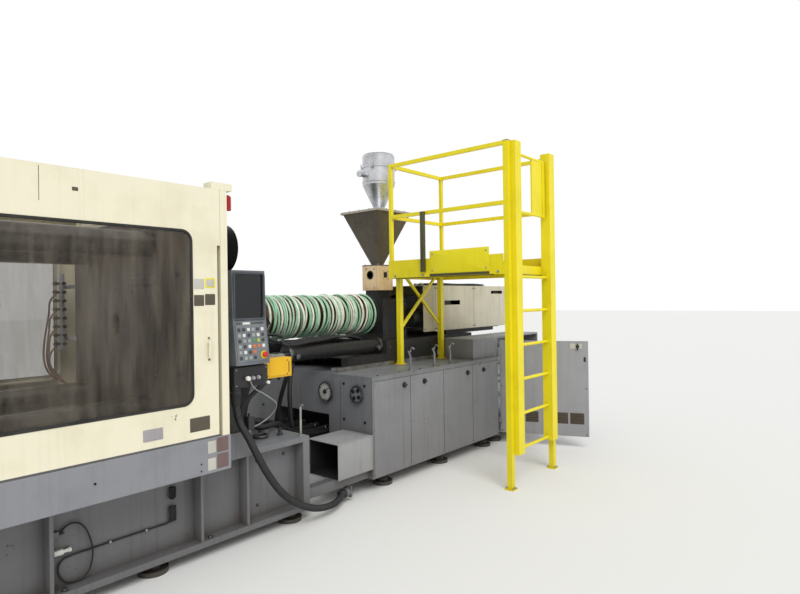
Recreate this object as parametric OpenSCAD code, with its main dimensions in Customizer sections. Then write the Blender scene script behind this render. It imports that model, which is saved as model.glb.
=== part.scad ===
// Injection moulding machine with an access platform.
// X runs along the machine towards the injection end, Y away from the operator, Z up.
// The origin is on the floor, below the centre of the fixed platen's mould face.

/* [Bed] */
// Overall width of the machine bed
base_w = 1900; // [1850:10:2000]
// Distance from the mould face to the clamp end
clamp_end = 4700; // [4650:10:5000]
// Distance from the mould face to the end of the clamp bed
bed_end = 1030; // [1000:5:1080]
// Height of the clamp bed's underside above the floor
bed_bottom = 80; // [60:5:110]
// Height of the clamp bed's top above the floor
bed_top = 640; // [600:5:660]
// Thickness of the bed's flanges
flange_t = 40; // [25:1:60]
// Width of the bed's flanges
flange_w = 250; // [220:5:280]
// Distance from the flange edge to the face of the bed's web
web_inset = 100; // [60:5:120]
// Thickness of the bed's web
web_t = 30; // [20:1:40]
// Distance between the bed's upright ribs
rib_pitch = 880; // [700:10:1000]
// Thickness of an upright rib
rib_t = 20; // [10:1:40]
// Length of the block that the fixed platen stands on
block_l = 504; // [480:2:540]
// Thickness of a hardened way strip
way_t = 20; // [12:1:30]
// Diameter of a levelling foot
foot_d = 180; // [120:5:220]

/* [Injection base] */
// Distance from the mould face to the first cover panel
inj_start = 1740; // [1720:5:1800]
// Number of cover panels on each side
panel_n = 4; // [4:1:4]
// Distance between panel seams
panel_w = 522; // [500:1:540]
// Thickness of a cover panel tray
panel_t = 30; // [20:1:40]
// Gap between two cover panels
panel_gap = 6; // [3:1:12]
// Height of the injection base's underside
inj_bottom = 120; // [100:5:140]
// Height of the injection base's top
inj_top = 1000; // [980:5:1020]
// Thickness of the injection base's top plate
inj_plate_t = 40; // [25:1:50]
// Wall of the injection base's frame
frame_t = 20; // [12:1:30]
// Length of the step box
step_l = 410; // [350:5:450]
// Height of the step box's top
step_top = 500; // [450:5:560]
// Height of the recess sill
sill_h = 90; // [70:5:110]

/* [Clamp] */
// Height of the machine's axis
axis_z = 1517; // [1510:1:1530]
// Width of the platens
platen_w = 1500; // [1460:5:1520]
// Height of the platens
platen_h = 1480; // [1440:5:1490]
// Thickness of the fixed platen
fixed_t = 450; // [430:5:470]
// Thickness of the moving platen
moving_t = 400; // [360:5:440]
// Thickness of the rear platen
rear_t = 450; // [400:5:500]
// Distance between the mould faces, as it stands
daylight = 1000; // [950:10:1050]
// Distance from the mould face to the rear platen
rear_x = 2850; // [2800:10:2900]
// Distance from the platens' side faces to the tie bars' centres
tie_inset = 200; // [190:5:210]
// Diameter of a tie bar
tie_d = 170; // [140:5:190]
// Diameter of a tie bar nut
nut_d = 360; // [300:5:370]
// Length of the nut behind the fixed platen
nut_l = 120; // [100:5:160]
// Length of the nut behind the rear platen
rear_nut_l = 200; // [150:5:250]
// Diameter of the clamp ram
ram_d = 420; // [380:5:450]
// Length of the clamp ram behind its flange
ram_l = 2100; // [2050:10:2120]
// Outer diameter of the clamp cylinder
cylinder_d = 700; // [660:5:740]
// Length of the clamp cylinder
cylinder_l = 1250; // [1240:5:1300]
// Length of the ejector box behind the moving platen
ejector_box_l = 220; // [200:5:240]
// Diameter of an ejector rod
ejector_d = 40; // [30:1:45]
// Diameter of the locating bore for the mould
locating_d = 160; // [120:5:200]
// Distance between the outer mould bolts
bolt_wide = 1050; // [1000:10:1060]
// Distance between the inner mould bolts
bolt_mid = 700; // [600:10:720]
// Distance between a close pair of mould bolts
bolt_near = 350; // [300:10:400]
// Diameter of a mould bolt hole
bolt_d = 24; // [16:1:30]

/* [Guard] */
// Distance from the machine's axis to the guard's outer face
guard_y = 1130; // [1110:5:1150]
// Clearance between the platens' top and the guard's headers
guard_gap = 13; // [12:1:60]
// Height of the rail's underside
rail_z = 610; // [600:5:640]
// Height of the rail
rail_h = 220; // [200:5:240]
// Width of the rail
rail_w = 120; // [100:5:130]
// Distance from the mould face to the rail's end
rail_end = 230; // [225:1:260]
// Distance from the mould face to the door's closing edge
door_edge = 146; // [130:1:150]
// Length of a sliding door
door_l = 1996; // [1950:2:2050]
// Thickness of a sliding door
door_t = 45; // [35:1:50]
// Thickness of a sheet metal skin
skin_t = 4; // [2:0.5:5]
// Distance from the door's closing edge to its window
window_inset = 177; // [150:1:200]
// Height of the window's lower edge
window_z = 1060; // [1000:5:1100]
// Height of the window
window_h = 1045; // [900:5:1060]
// Radius of the window's corners
window_r = 60; // [40:1:90]
// Thickness of a window pane
pane_t = 8; // [5:1:12]
// Width of a guard post
post_w = 50; // [40:1:60]
// Width of the dark slot beside the door
slot_w = 24; // [18:1:30]

/* [Control panel] */
// Width of the control panel
panel_l = 265; // [250:5:280]
// Height of the control panel's underside
control_z = 1250; // [1245:1:1260]
// Height of the control panel
control_h = 635; // [600:5:660]
// Height of the keypad section
keypad_h = 290; // [270:5:300]
// Distance from the machine's axis to the screen's face
control_y = 1052; // [1040:1:1060]
// Thickness of the button plate
keypad_t = 3; // [2:1:4]
// Diameter of the emergency stop button
stop_d = 40; // [30:1:44]
// Diameter of the swivel pin
swivel_d = 40; // [30:1:50]

/* [Injection unit] */
// Width of the carriage
carriage_w = 900; // [860:5:920]
// Height of the injection ways above the base
rail_up = 40; // [30:1:50]
// Outer diameter of the barrel
barrel_d = 290; // [270:2:300]
// Diameter of the barrel's bore
bore_d = 110; // [90:1:120]
// Distance from the mould face to the barrel's front
barrel_x = 520; // [500:5:560]
// Thickness of a heater band
band_t = 25; // [15:1:30]
// Width of a heater band
band_w = 110; // [90:1:115]
// Distance between heater bands
band_pitch = 130; // [125:1:140]
// Thickness of the hose wound round the barrel
hose_d = 48; // [40:1:50]
// Number of turns of hose round the barrel
turns = 22; // [12:1:24]
// Distance between the turns
turn_pitch = 64; // [60:1:66]
// Distance from the mould face to the hopper's axis
hopper_x = 2860; // [2830:5:2880]
// Side of the throat block
throat_w = 240; // [200:5:250]
// Height of the throat block's top
throat_z = 2040; // [2000:5:2060]
// Side of the hopper's rim
hopper_w = 543; // [480:5:600]
// Side of the hopper's outlet
outlet_w = 90; // [80:2:100]
// Height of the hopper
hopper_h = 592; // [500:4:640]
// Wall of the hopper
hopper_wall = 4; // [3:1:8]
// Diameter of the loader
loader_d = 360; // [340:5:380]
// Distance of the loader's axis behind the hopper's
loader_shift = 40; // [0:5:60]
// Height of the loader's cone and spigot
loader_cone_h = 304; // [280:4:320]
// Height of the loader's body
loader_h = 339; // [300:1:380]
// Width of the injection cover
cover_w = 800; // [780:5:820]
// Length of the injection cover
cover_l = 1820; // [1760:5:1850]
// Height of the cover's lower edge
cover_z = 1300; // [1290:5:1320]
// Height of the cover's top
cover_top = 1820; // [1810:5:1850]
// Diameter of the traverse cylinders
traverse_d = 130; // [110:2:140]
// Diameter of the traverse rods
traverse_rod_d = 60; // [40:1:66]
// Diameter of the screw drive motor
motor_d = 360; // [300:5:400]

/* [Power unit] */
// Length of the power cabinet
cabinet_l = 1070; // [1000:10:1120]
// Height of the power cabinet
cabinet_top = 1220; // [1200:5:1240]
// Depth of the power cabinet
cabinet_depth = 400; // [380:10:420]
// Thickness of the cabinet door
cabinet_door_t = 25; // [20:1:30]
// Angle at which the cabinet door stands open
door_open = 68; // [0:1:85]
// Diameter of a cabinet hinge pin
hinge_d = 10; // [8:1:14]

/* [Platform] */
// Distance from the mould face to the platform's left edge
deck_x = 2530; // [2510:5:2560]
// Length of the platform
deck_l = 910; // [880:5:940]
// Distance from the machine's axis to the platform's front edge
deck_front = 1794; // [1750:2:1850]
// Distance from the machine's axis to the platform's rear edge
deck_back = 460; // [440:5:480]
// Height of the deck frame's underside
deck_z = 1880; // [1860:5:1900]
// Depth of the deck frame
deck_h = 80; // [60:5:100]
// Height of the toe board's top
toe_top = 2060; // [2040:5:2080]
// Height of the handrail's top
handrail_z = 3046; // [3000:2:3080]
// Side of the platform's square tube
tube = 50; // [45:1:60]
// Side of the handrail's square tube
rail_tube = 35; // [28:1:40]
// Width of a ladder side rail
stile_w = 103; // [80:1:110]
// Depth of a ladder side rail
stile_d = 95; // [80:1:100]
// Height of the lowest rung
rung_z = 334; // [320:2:350]
// Distance between rungs
rung_pitch = 305; // [280:5:305]
// Diameter of a rung
rung_d = 28; // [22:1:34]

/* [Hidden] */

clr = 0.3;
e = 1;
half = base_w / 2;
web_y = half - web_inset;
platen_z = axis_z - platen_h / 2;
tie = platen_w / 2 - tie_inset;
tie_z = platen_h / 2 - tie_inset + 10;
rear_face = rear_x + rear_t;
mov_x = -daylight;
mov_back = mov_x - moving_t;
box_back = mov_back - ejector_box_l;
ram_flange_t = 80;
way_y = half - flange_w + 10;
way_w = 120;
clamp_way_l = daylight + moving_t + ejector_box_l + 500;

// Injection base stations
inj_end = inj_start + panel_n * panel_w;
skin_y = half - panel_t;
plate_z = inj_top - inj_plate_t;
inj_way_y = carriage_w / 2 - 80;
inj_way_z = inj_top + rail_up;

// Guard stations
rail_top = rail_z + rail_h;
door_z = rail_top + 13;
frame_y = guard_y - door_t - 5;
frame_w = 60;
header_z = axis_z + platen_h / 2 + guard_gap;
guard_top = header_z + 115;
header_h = 80;
post_x = door_edge + slot_w;
door_back = door_edge - door_l;
window_x1 = door_edge - window_inset;
window_x0 = door_back + window_inset - 27;
slot_top = 2030;

// Injection unit stations
barrel_r = barrel_d / 2;
band_r = barrel_r + band_t;
feed_x0 = hopper_x - 210;
feed_x1 = hopper_x + 190;
sled_x0 = inj_start + 210;
sled_x1 = sled_x0 + 1400;
beam_x1 = sled_x1 + 700;
sled_z = inj_way_z + clr;
beam_z = sled_z + 70;
beam_top = beam_z + 140;
neck_z = throat_z - 270;
traverse_y = 330;
traverse_z = axis_z - 317;
cover_x = feed_x1 + 120;
rear_plate_x = cover_x + cover_l - 290;
guide_y = 260;
guide_d = 90;
cross_x = feed_x1 + 450;
cross_l = 250;
gate_z = throat_z - 26;
gate_t = 10;
lid_z = throat_z + hopper_h;
lid_t = 6;

// Power unit stations
cab_x = inj_end;
cab_y = half - 50;
cab_in = cab_y - cabinet_depth;
hinge_x = cab_x + 57;
hinge_y = cab_y + 30;
leaf_l = 975;
leaf_z = 130;
leaf_h = cabinet_top - 40 - leaf_z;

// Control panel stations
control_x = 305;
tilt = atan2(38, keypad_h);
swivel_x = control_x + panel_l / 2;
swivel_y = control_y - 92;
conn_z = control_z - 150;

// Platform stations
deck_y0 = -deck_front;
deck_y1 = -deck_back;
deck_x1 = deck_x + deck_l;
deck_top = deck_z + deck_h;
post_l = deck_x + 13;
post_r = deck_x1 - 40 - tube;
leg_l = deck_x + 95;
leg_r = deck_x1 - 110;
leg_y = deck_y1 - 65;
stile_l = post_l + tube;
stile_r = post_r - stile_w;
stile_y = deck_y0 - clr;
mid_z = handrail_z - 556;

// Route of the hose from the control panel to the injection base
hose_od = 52;
hose_path = [[335, -1030, 1060], [335, -1031, 1000], [340, -1036, 930], [362, -1043, 850],
    [412, -1050, 760], [465, -1052, 655], [525, -1052, 545], [610, -1052, 410], [700, -1050, 300],
    [800, -1050, 215], [905, -1048, 150], [1020, -1042, 105], [1140, -1026, 80], [1250, -994, 70],
    [1340, -950, 71], [1400, -915, 75], [1440, -902, 78]];

// Route of the sensor cable along the bed's web
cable_od = 9;
cable_path = [[-32, -858, 311], [-36, -859, 294], [-60, -860, 283], [-110, -860, 281], [-200, -860, 281],
    [-300, -860, 280], [-415, -860, 279], [-530, -860, 277], [-620, -860, 275], [-668, -860, 266],
    [-690, -861, 240], [-692, -862, 205], [-680, -864, 168], [-652, -868, 138], [-613, -872, 127],
    [-572, -874, 133], [-543, -875, 160], [-522, -875, 215], [-518, -875, 285], [-532, -875, 350],
    [-556, -875, 410], [-590, -874, 448], [-625, -870, 456], [-655, -866, 444], [-676, -863, 424],
    [-690, -862, 412]];

module block(a, b) {
    translate(a) cube(b - a);
}

module sides() {
    children();
    mirror([0, 1, 0]) children();
}

// A profile drawn in Y and Z, carried along X
module along_x(x, l) {
    translate([x, 0, 0]) rotate([90, 0, 90]) linear_extrude(l) children();
}

// A profile drawn in X and Z, carried along Y
module along_y(y, l) {
    translate([0, y + l, 0]) rotate([90, 0, 0]) linear_extrude(l) children();
}

module rod_x(p, l, d) {
    translate(p) rotate([0, 90, 0]) cylinder(h = l, d = d, $fn = 64);
}

module rod_y(p, l, d) {
    translate(p) rotate([-90, 0, 0]) cylinder(h = l, d = d, $fn = 48);
}

module rod_z(p, l, d) {
    translate(p) cylinder(h = l, d = d, $fn = 48);
}

module round_rect(x0, z0, w, h, r) {
    translate([x0 + r, z0]) square([w - 2 * r, h]);
    translate([x0, z0 + r]) square([w, h - 2 * r]);
    for (x = [x0 + r, x0 + w - r], z = [z0 + r, z0 + h - r]) translate([x, z]) circle(r = r, $fn = 48);
}

module cut_corner_plate(w, h, c) {
    polygon([[-w / 2 + c, -h / 2], [w / 2 - c, -h / 2], [w / 2, -h / 2 + c], [w / 2, h / 2 - c],
        [w / 2 - c, h / 2], [-w / 2 + c, h / 2], [-w / 2, h / 2 - c], [-w / 2, -h / 2 + c]]);
}

// Welded bed: flanged side members, upright ribs, cross members and the fixed platen's block
module clamp_base() color("#7d7f83") {
    l = clamp_end + bed_end;
    sides() along_x(-clamp_end, l) {
        translate([half - flange_w, bed_bottom]) square([flange_w, flange_t]);
        translate([half - flange_w, bed_top - flange_t]) square([flange_w, flange_t]);
        translate([web_y - web_t, bed_bottom]) square([web_t, bed_top - bed_bottom]);
    }
    for (i = [-5:0]) sides() block([120 + i * rib_pitch, web_y - e, bed_bottom + e],
        [120 + i * rib_pitch + rib_t, half - 5, bed_top - e]);
    sides() block([470, web_y - e, bed_bottom + e], [470 + rib_t, half - 5, bed_top - e]);
    sides() block([bed_end - 60, web_y - e, bed_bottom + e], [bed_end, half, bed_top - e]);
    for (x = [-clamp_end, -rear_face, -rear_x - 40, -40, fixed_t, bed_end - 40])
        block([x, -web_y, bed_bottom], [x + 40, web_y, bed_top - e]);
    block([-100, -web_y, bed_bottom], [block_l, web_y, bed_bottom + flange_t]);
    block([-20, -half, bed_top - flange_t], [block_l, half, platen_z]);
    block([block_l - e, -half + flange_t, bed_top - flange_t], [bed_end, half - flange_t, bed_top]);
    block([-clamp_end, -web_y, bed_top - flange_t], [-rear_x, web_y, bed_top]);
    sides() block([-rear_face, platen_w / 2 - 350, bed_top - e], [-rear_x, platen_w / 2, platen_z]);
    for (p = [[bed_end - 180, -620], [bed_end - 90, -420]]) rod_z([p[0], p[1], bed_top - e], 35, 90);
    for (z = [311, 450]) block([-50, -web_y - 16, z], [-14, -web_y + e, z + 50]);
    block([-720, -web_y - 24, 395], [-690, -web_y + e, 430]);
}

// Welded box under the injection unit, with access openings behind its cover panels
module injection_base() color("#7d7f83") {
    difference() {
        block([inj_start, -skin_y, inj_bottom], [inj_end, skin_y, plate_z + e]);
        block([inj_start + frame_t, -skin_y + frame_t, inj_bottom + frame_t],
            [inj_end - frame_t, skin_y - frame_t, plate_z]);
        for (i = [0:panel_n - 1]) block([inj_start + i * panel_w + 60, -half, inj_bottom + 100],
            [inj_start + (i + 1) * panel_w - 60, half, plate_z - 100]);
        block([inj_start - e, -400, inj_bottom + 160], [inj_start + frame_t + e, 400, inj_bottom + 500]);
    }
    block([inj_start, -half, plate_z], [inj_end, half, inj_top]);
    sides() block([inj_start, skin_y - e, inj_bottom], [inj_start + frame_t, half, plate_z + e]);
    sides() block([bed_end, half - 130, inj_bottom + 10], [inj_start + e, half - 50, inj_bottom + sill_h]);
    block([bed_end, -half + 129, inj_bottom + 10], [bed_end + 40, half - 129, inj_bottom + sill_h]);
    for (p = [[-375, 831, 180], [-778, 843, 150]]) rod_x([inj_start - 24, p[0], p[1]], 25, p[2]);
    for (x = [inj_end - 1503, inj_end - 1128, inj_end - 858]) {
        rod_z([x, -half + 50, inj_top - e], 128, 20);
        translate([x, -half + 50, inj_top + 127]) rotate([0, -28, 0]) cylinder(h = 60, d = 20, $fn = 24);
        translate([x, -half + 50, inj_top + 127]) sphere(d = 23, $fn = 24);
    }
    block([inj_start - 260, -940, 38], [inj_start - 248, -862, inj_bottom + 11]);
    rod_x([inj_start - 300, -902, 78], 41, 74);
}

// One lift-off panel: a folded tray with its open side inwards
module panel_tray(x, inset) {
    x0 = x + panel_gap / 2 + inset;
    x1 = x + panel_w - panel_gap / 2;
    z1 = plate_z - 3;
    difference() {
        block([x0, skin_y, inj_bottom], [x1, half, z1]);
        block([x0 + 18, skin_y - e, inj_bottom + 18], [x1 - 18, half - 3, z1 - 18]);
    }
}

module side_panels() color("#86888c") {
    for (i = [0:panel_n - 1]) sides() panel_tray(inj_start + i * panel_w, i == 0 ? frame_t : 0);
}

module levelling_foot(x, y, z) {
    rod_z([x, y, 0], 30, foot_d);
    rod_z([x, y, 30 - e], z - 30 + e, 60);
    translate([x, y, 30 - e]) cylinder(h = 26, d = 96, $fn = 6);
}

module levelling_feet() color("#3c3d3f") {
    y = half - foot_d / 2 - 20;
    for (x = [-4480, -3400, -2300, -1200, -150, bed_end - 110]) for (s = [-1, 1]) levelling_foot(x, s * y, bed_bottom);
    levelling_foot(0, 0, bed_bottom);
    for (x = [inj_start + 270, inj_start + 1130, inj_end - 130]) for (s = [-1, 1])
        levelling_foot(x, s * (y - 30), inj_bottom);
    for (x = [cab_x + 160, cab_x + cabinet_l - 160]) for (s = [-1, 1]) levelling_foot(x, s * (y - 60), inj_bottom);
}

// Sheet steel box with its open side towards the clamp
module step_box() color("#a9aaac") {
    x0 = inj_start - step_l;
    z0 = inj_bottom + sill_h;
    difference() {
        block([x0, -half, z0], [inj_start, -half + 350, step_top]);
        block([x0 - e, -half + 5, z0 + 5], [inj_start - 5, -half + 345, step_top - 5]);
    }
    block([x0 - 10, -half - 5, step_top], [inj_start, -half + 360, step_top + 6]);
}

module machine_ways() color("#9b9c9e") {
    sides() block([-clamp_way_l, way_y, bed_top], [-60, way_y + way_w, bed_top + way_t]);
    sides() block([inj_start + 60, inj_way_y, inj_top], [inj_end - 20, inj_way_y + 80, inj_way_z]);
}

module tie_bores(x, l) {
    for (y = [-tie, tie], z = [-tie_z, tie_z]) rod_x([x - e, y, axis_z + z], l + 2 * e, tie_d + 2 * clr);
}

module mould_bolts(x, depth) {
    for (p = [[bolt_mid, bolt_mid], [bolt_wide, bolt_near], [bolt_near, bolt_wide]])
        for (y = [-p[0] / 2, p[0] / 2], z = [-p[1] / 2, p[1] / 2]) rod_x([x, y, axis_z + z], depth, bolt_d);
}

// Cast platen with a conical nozzle recess and pockets between its ribs
module stationary_platen() color("#6f6a5c") {
    difference() {
        along_x(0, fixed_t) translate([0, axis_z]) cut_corner_plate(platen_w, platen_h, 60);
        tie_bores(0, fixed_t);
        mould_bolts(-e, 60);
        rod_x([-e, 0, axis_z], 40 + e, locating_d);
        rod_x([30, 0, axis_z], 130, 120);
        translate([120, 0, axis_z]) rotate([0, 90, 0]) cylinder(h = fixed_t - 120 + e, r1 = 95, r2 = 282, $fn = 64);
        for (s = [-1, 1]) {
            block([fixed_t - 220, -220, axis_z + s * (tie_z - 20) - 170],
                [fixed_t + e, 220, axis_z + s * (tie_z - 20) + 170]);
            block([fixed_t - 220, s * (tie - 20) - 190, axis_z - 200], [fixed_t + e, s * (tie - 20) + 190, axis_z + 200]);
        }
    }
}

module rear_platen() color("#6f6a5c") {
    difference() {
        along_x(-rear_face, rear_t) translate([0, axis_z]) cut_corner_plate(platen_w, platen_h, 60);
        tie_bores(-rear_face, rear_t);
        rod_x([-rear_face - e, 0, axis_z], rear_t + 2 * e, ram_d + 2 * clr);
        for (s = [-1, 1]) block([-rear_x - 180, -250, axis_z + s * (tie_z - 20) - 150],
            [-rear_x + e, 250, axis_z + s * (tie_z - 20) + 150]);
    }
}

module clamp_cylinder() color("#55585c") {
    x0 = -rear_face - cylinder_l;
    difference() {
        union() {
            rod_x([x0, 0, axis_z], cylinder_l, cylinder_d);
            rod_x([-rear_face - 80, 0, axis_z], 80, cylinder_d + 130);
            rod_x([x0, 0, axis_z], 60, cylinder_d + 60);
            rod_z([x0 + 200, 0, axis_z + cylinder_d / 2 - 60], 200, 190);
            rod_z([x0 + 200, 0, axis_z + cylinder_d / 2 + 139], 40, 260);
        }
        rod_x([x0 + 100, 0, axis_z], cylinder_l, ram_d + 20);
    }
}

module tie_bars() color("#8d8f92") {
    for (y = [-tie, tie], z = [-tie_z, tie_z]) {
        rod_x([-rear_face - rear_nut_l - 30, y, axis_z + z], rear_face + rear_nut_l + fixed_t + nut_l + 60, tie_d);
        rod_x([fixed_t, y, axis_z + z], nut_l, nut_d);
        rod_x([-rear_face - rear_nut_l, y, axis_z + z], rear_nut_l, nut_d);
    }
}

// Cast platen with the ejector box behind it and shoes that ride on the bed's ways
module moving_platen() color("#6f6a5c") {
    shoe_z = bed_top + way_t + clr;
    difference() {
        union() {
            along_x(mov_back, moving_t) translate([0, axis_z]) cut_corner_plate(platen_w, platen_h, 60);
            for (s = [-1, 1]) block([box_back, -300, axis_z + s * 290 - 30], [mov_back + e, 300, axis_z + s * 290 + 30]);
            sides() block([mov_back, way_y, shoe_z], [mov_x, way_y + way_w, platen_z + 260]);
            sides() block([mov_back, platen_w / 2 - 60, platen_z + 60], [mov_x, way_y + e, platen_z + 260]);
        }
        tie_bores(mov_back, moving_t);
        mould_bolts(mov_x - 60, 60 + e);
        for (y = [-140, 140], z = [-100, 100]) rod_x([mov_back - e, y, axis_z + z], moving_t + 2 * e, ejector_d + 2 * clr);
        for (s = [-1, 1]) block([mov_back - e, -230, axis_z + s * (tie_z + 10) - 140],
            [mov_back + 200, 230, axis_z + s * (tie_z + 10) + 140]);
    }
}

module clamp_ram() color("#b4b6b9") {
    rod_x([box_back - ram_flange_t, 0, axis_z], ram_flange_t, 660);
    rod_x([box_back - ram_flange_t - ram_l, 0, axis_z], ram_l + e, ram_d);
}

module ejector() color("#8d8f92") {
    x0 = box_back + 20;
    block([x0, -200, axis_z - 160], [x0 + 40, 200, axis_z + 160]);
    for (y = [-140, 140], z = [-100, 100]) rod_x([x0 + 40 - e, y, axis_z + z], mov_x - x0 - 42, ejector_d);
}

// Posts and headers that carry the fixed guards and guide the doors
module guard_frame() color("#ece6c8") {
    sides() block([post_x, frame_y - frame_w, rail_top], [post_x + post_w, guard_y, guard_top]);
    for (x = [-clamp_end, -rear_x - 200, door_back - 54])
        sides() block([x, frame_y - frame_w, rail_top], [x + post_w, frame_y, header_z + e]);
    sides() block([-clamp_end, frame_y - frame_w, header_z], [post_x + e, frame_y, header_z + header_h]);
    for (x = [-clamp_end, door_back - 54, post_x])
        block([x, -frame_y, header_z], [x + post_w, frame_y, header_z + header_h]);
    block([post_x - 58, -guard_y, guard_top + clr], [post_x + post_w + 40, -guard_y + 90, guard_top + 45]);
    block([post_x + e, -guard_y + 10, guard_top - e], [post_x + post_w, -guard_y + 80, guard_top + 20]);
}

// Hollow rail below each door, with a guide strip on top and spacers to the bed
module guard_rail() color("#86888c") {
    l = clamp_end + rail_end;
    sides() {
        along_x(-clamp_end, l) difference() {
            translate([guard_y - rail_w, rail_z]) square([rail_w, rail_h]);
            translate([guard_y - rail_w + 8, rail_z + 8]) square([rail_w - 16, rail_h - 16]);
        }
        block([-clamp_end, guard_y - 33, rail_top - e], [door_edge, guard_y - 13, door_z - clr]);
        block([rail_end - 60, half, bed_top], [rail_end - 10, guard_y - rail_w + e, bed_top + 100]);
        for (i = [-5:-1]) block([120 + i * rib_pitch, half - 60, bed_top],
            [180 + i * rib_pitch, guard_y - rail_w + e, bed_top + 100]);
    }
}

// Folded tray with its open side towards the machine's axis
module guard_tray(x0, x1, y) {
    difference() {
        block([x0, y, rail_top], [x1, y + 30, header_z]);
        block([x0 + skin_t, y - e, rail_top + skin_t], [x1 - skin_t, y + 30 - skin_t, header_z - skin_t]);
    }
    for (k = [1, 2]) block([x0 + k * (x1 - x0) / 3 - 15, y + 4, rail_top + 2],
        [x0 + k * (x1 - x0) / 3 + 15, y + 30 - skin_t + 0.5, header_z - 2]);
}

module fixed_guards() color("#ece6c8") {
    y = frame_y - 45;
    x0 = -clamp_end + post_w;
    x1 = -rear_x - 200;
    x2 = door_back - 54;
    z = header_z + header_h;
    sides() {
        guard_tray(x0, x1, y);
        guard_tray(x1 + post_w, x2, y);
    }
    block([-clamp_end, -frame_y, z], [x2 + post_w, frame_y, z + skin_t]);
    for (k = [1:5]) block([-clamp_end + k * 480 - 20, -frame_y + 70, z - 30], [-clamp_end + k * 480 + 20, frame_y - 70, z + 1]);
    end_y = guard_y - rail_w - clr;
    block([-clamp_end, -end_y, bed_top], [-clamp_end + skin_t, end_y, rail_top + e]);
    block([-clamp_end, -frame_y + frame_w, rail_top], [-clamp_end + skin_t, frame_y - frame_w, header_z]);
}

module alarm_beacon() color("#c4201c") {
    x = post_x + post_w;
    y = 55 - guard_y;
    block([x, y - 12, guard_top - 60], [x + 20, y + 12, guard_top - 40]);
    rod_z([x + 40, y, guard_top - 116], 88, 46);
    translate([x + 40, y, guard_top - 28]) cylinder(h = 10, r1 = 23, r2 = 14, $fn = 48);
}

// Upright and connector box that carry the control panel on its swivel pin
module panel_arm() color("#2e2f31") {
    x0 = control_x;
    x1 = control_x + panel_l;
    block([x0 + 45, -930, platen_z], [x0 + 115, -860, conn_z + e]);
    block([x0, -930 - 130, conn_z], [x1, -880, control_z - 15]);
    rod_z([swivel_x, -swivel_y, control_z - 15 - e], 15 + e - clr, 90);
    rod_z([swivel_x, -swivel_y, control_z - e], 60, swivel_d);
    block([x1 - e, -980, conn_z + 40], [x1 + 20, -940, conn_z + 80]);
    rod_z([335, -1030, 1060], conn_z - 1060 + e, 68);
    for (i = [0:3]) rod_y([x0 + 90 + i * 42, -1078, conn_z + 60], 19, 26);
}

module terminal_box() color("#e0b21c") {
    x0 = control_x + panel_l + 20;
    block([x0, -1000, conn_z + 25], [x0 + 240, -920, conn_z + 164]);
    block([x0 + 12, -1006, conn_z + 37], [x0 + 228, -1000 + e, conn_z + 152]);
}

// Sheet cabinet on a plinth, open at the front behind its door
module power_cabinet() color("#86888c") {
    x1 = cab_x + cabinet_l;
    difference() {
        union() {
            block([cab_x, -cab_y, inj_bottom], [x1, -cab_in, cabinet_top]);
            block([cab_x - 430, -cab_y, inj_top], [cab_x + e, -carriage_w / 2 - 40, cabinet_top]);
        }
        block([cab_x + 20, -cab_y - e, inj_bottom + 20], [x1 - 20, -cab_in - 20, cabinet_top - 20]);
        block([cab_x - 410, -cab_y + 20, inj_top - e], [cab_x + 21, -carriage_w / 2 - 60, cabinet_top - 20]);
    }
    block([cab_x + 20 - e, -cab_y, inj_bottom + 20 - e], [hinge_x + 20, -cab_y + 20, cabinet_top - 20 + e]);
    for (z = [leaf_z + 110, leaf_z + leaf_h - 170]) {
        block([hinge_x - 12, -hinge_y, z - 8], [hinge_x - 2, -cab_y + e, z - clr]);
        rod_z([hinge_x, -hinge_y, z - 8], 68, hinge_d);
        block([hinge_x - 12, -hinge_y - 6, z - 8], [hinge_x + 6, -hinge_y + 6, z - clr]);
    }
}

// Mounting plate with rows of contactors and terminals
module cabinet_backplate() color("#b9babb") {
    y = -cab_in - 20;
    x0 = cab_x + 80;
    block([x0, y - 6, inj_bottom + 80], [cab_x + cabinet_l - 60, y, cabinet_top - 80]);
    for (r = [0:3]) {
        z = inj_bottom + 150 + r * 220;
        block([x0 + 30, y - 14, z + 40], [cab_x + cabinet_l - 90, y - 5, z + 75]);
        for (i = [0:8]) block([x0 + 50 + i * 94, y - 90 + 10 * (i % 3), z], [x0 + 120 + i * 94, y - 13, z + 115]);
    }
}

// Oil tank with its pump motor, beside the cabinet
module hydraulic_tank() color("#6d7074") {
    x1 = cab_x + cabinet_l;
    y0 = -cab_in + 20;
    difference() {
        block([cab_x, y0, inj_bottom], [x1, skin_y, inj_top - 60]);
        block([cab_x + 8, y0 + 8, inj_bottom + 8], [x1 - 8, skin_y - 8, inj_top - 72]);
    }
    for (i = [0:4]) block([x1 - e, y0 + 100 + i * 190, inj_bottom + 60], [x1 + 12, y0 + 112 + i * 190, inj_top - 120]);
    block([cab_x + 200, skin_y - 380, inj_top - 61], [x1 - 150, skin_y - 80, inj_top - 20]);
    rod_x([cab_x + 260, skin_y - 230, inj_top + 140], 420, 300);
    rod_x([cab_x + 680 - e, skin_y - 230, inj_top + 140], 170, 210);
    for (x = [cab_x + 300, cab_x + 600]) block([x, skin_y - 330, inj_top - 21], [x + 50, skin_y - 130, inj_top + 60]);
    rod_z([cab_x + 180, y0 + 200, inj_top - 61], 70, 110);
    for (i = [0:7]) rotate_fin(i);
}

// A cooling fin along the pump motor
module rotate_fin(i) {
    translate([cab_x + 290, skin_y - 230, inj_top + 140]) rotate([45 * i, 0, 0])
        translate([0, -4, 140]) cube([360, 8, 22]);
}

module square_tube(x, y, z0, z1, w) {
    block([x, y, z0], [x + w, y + w, z1]);
}

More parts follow.
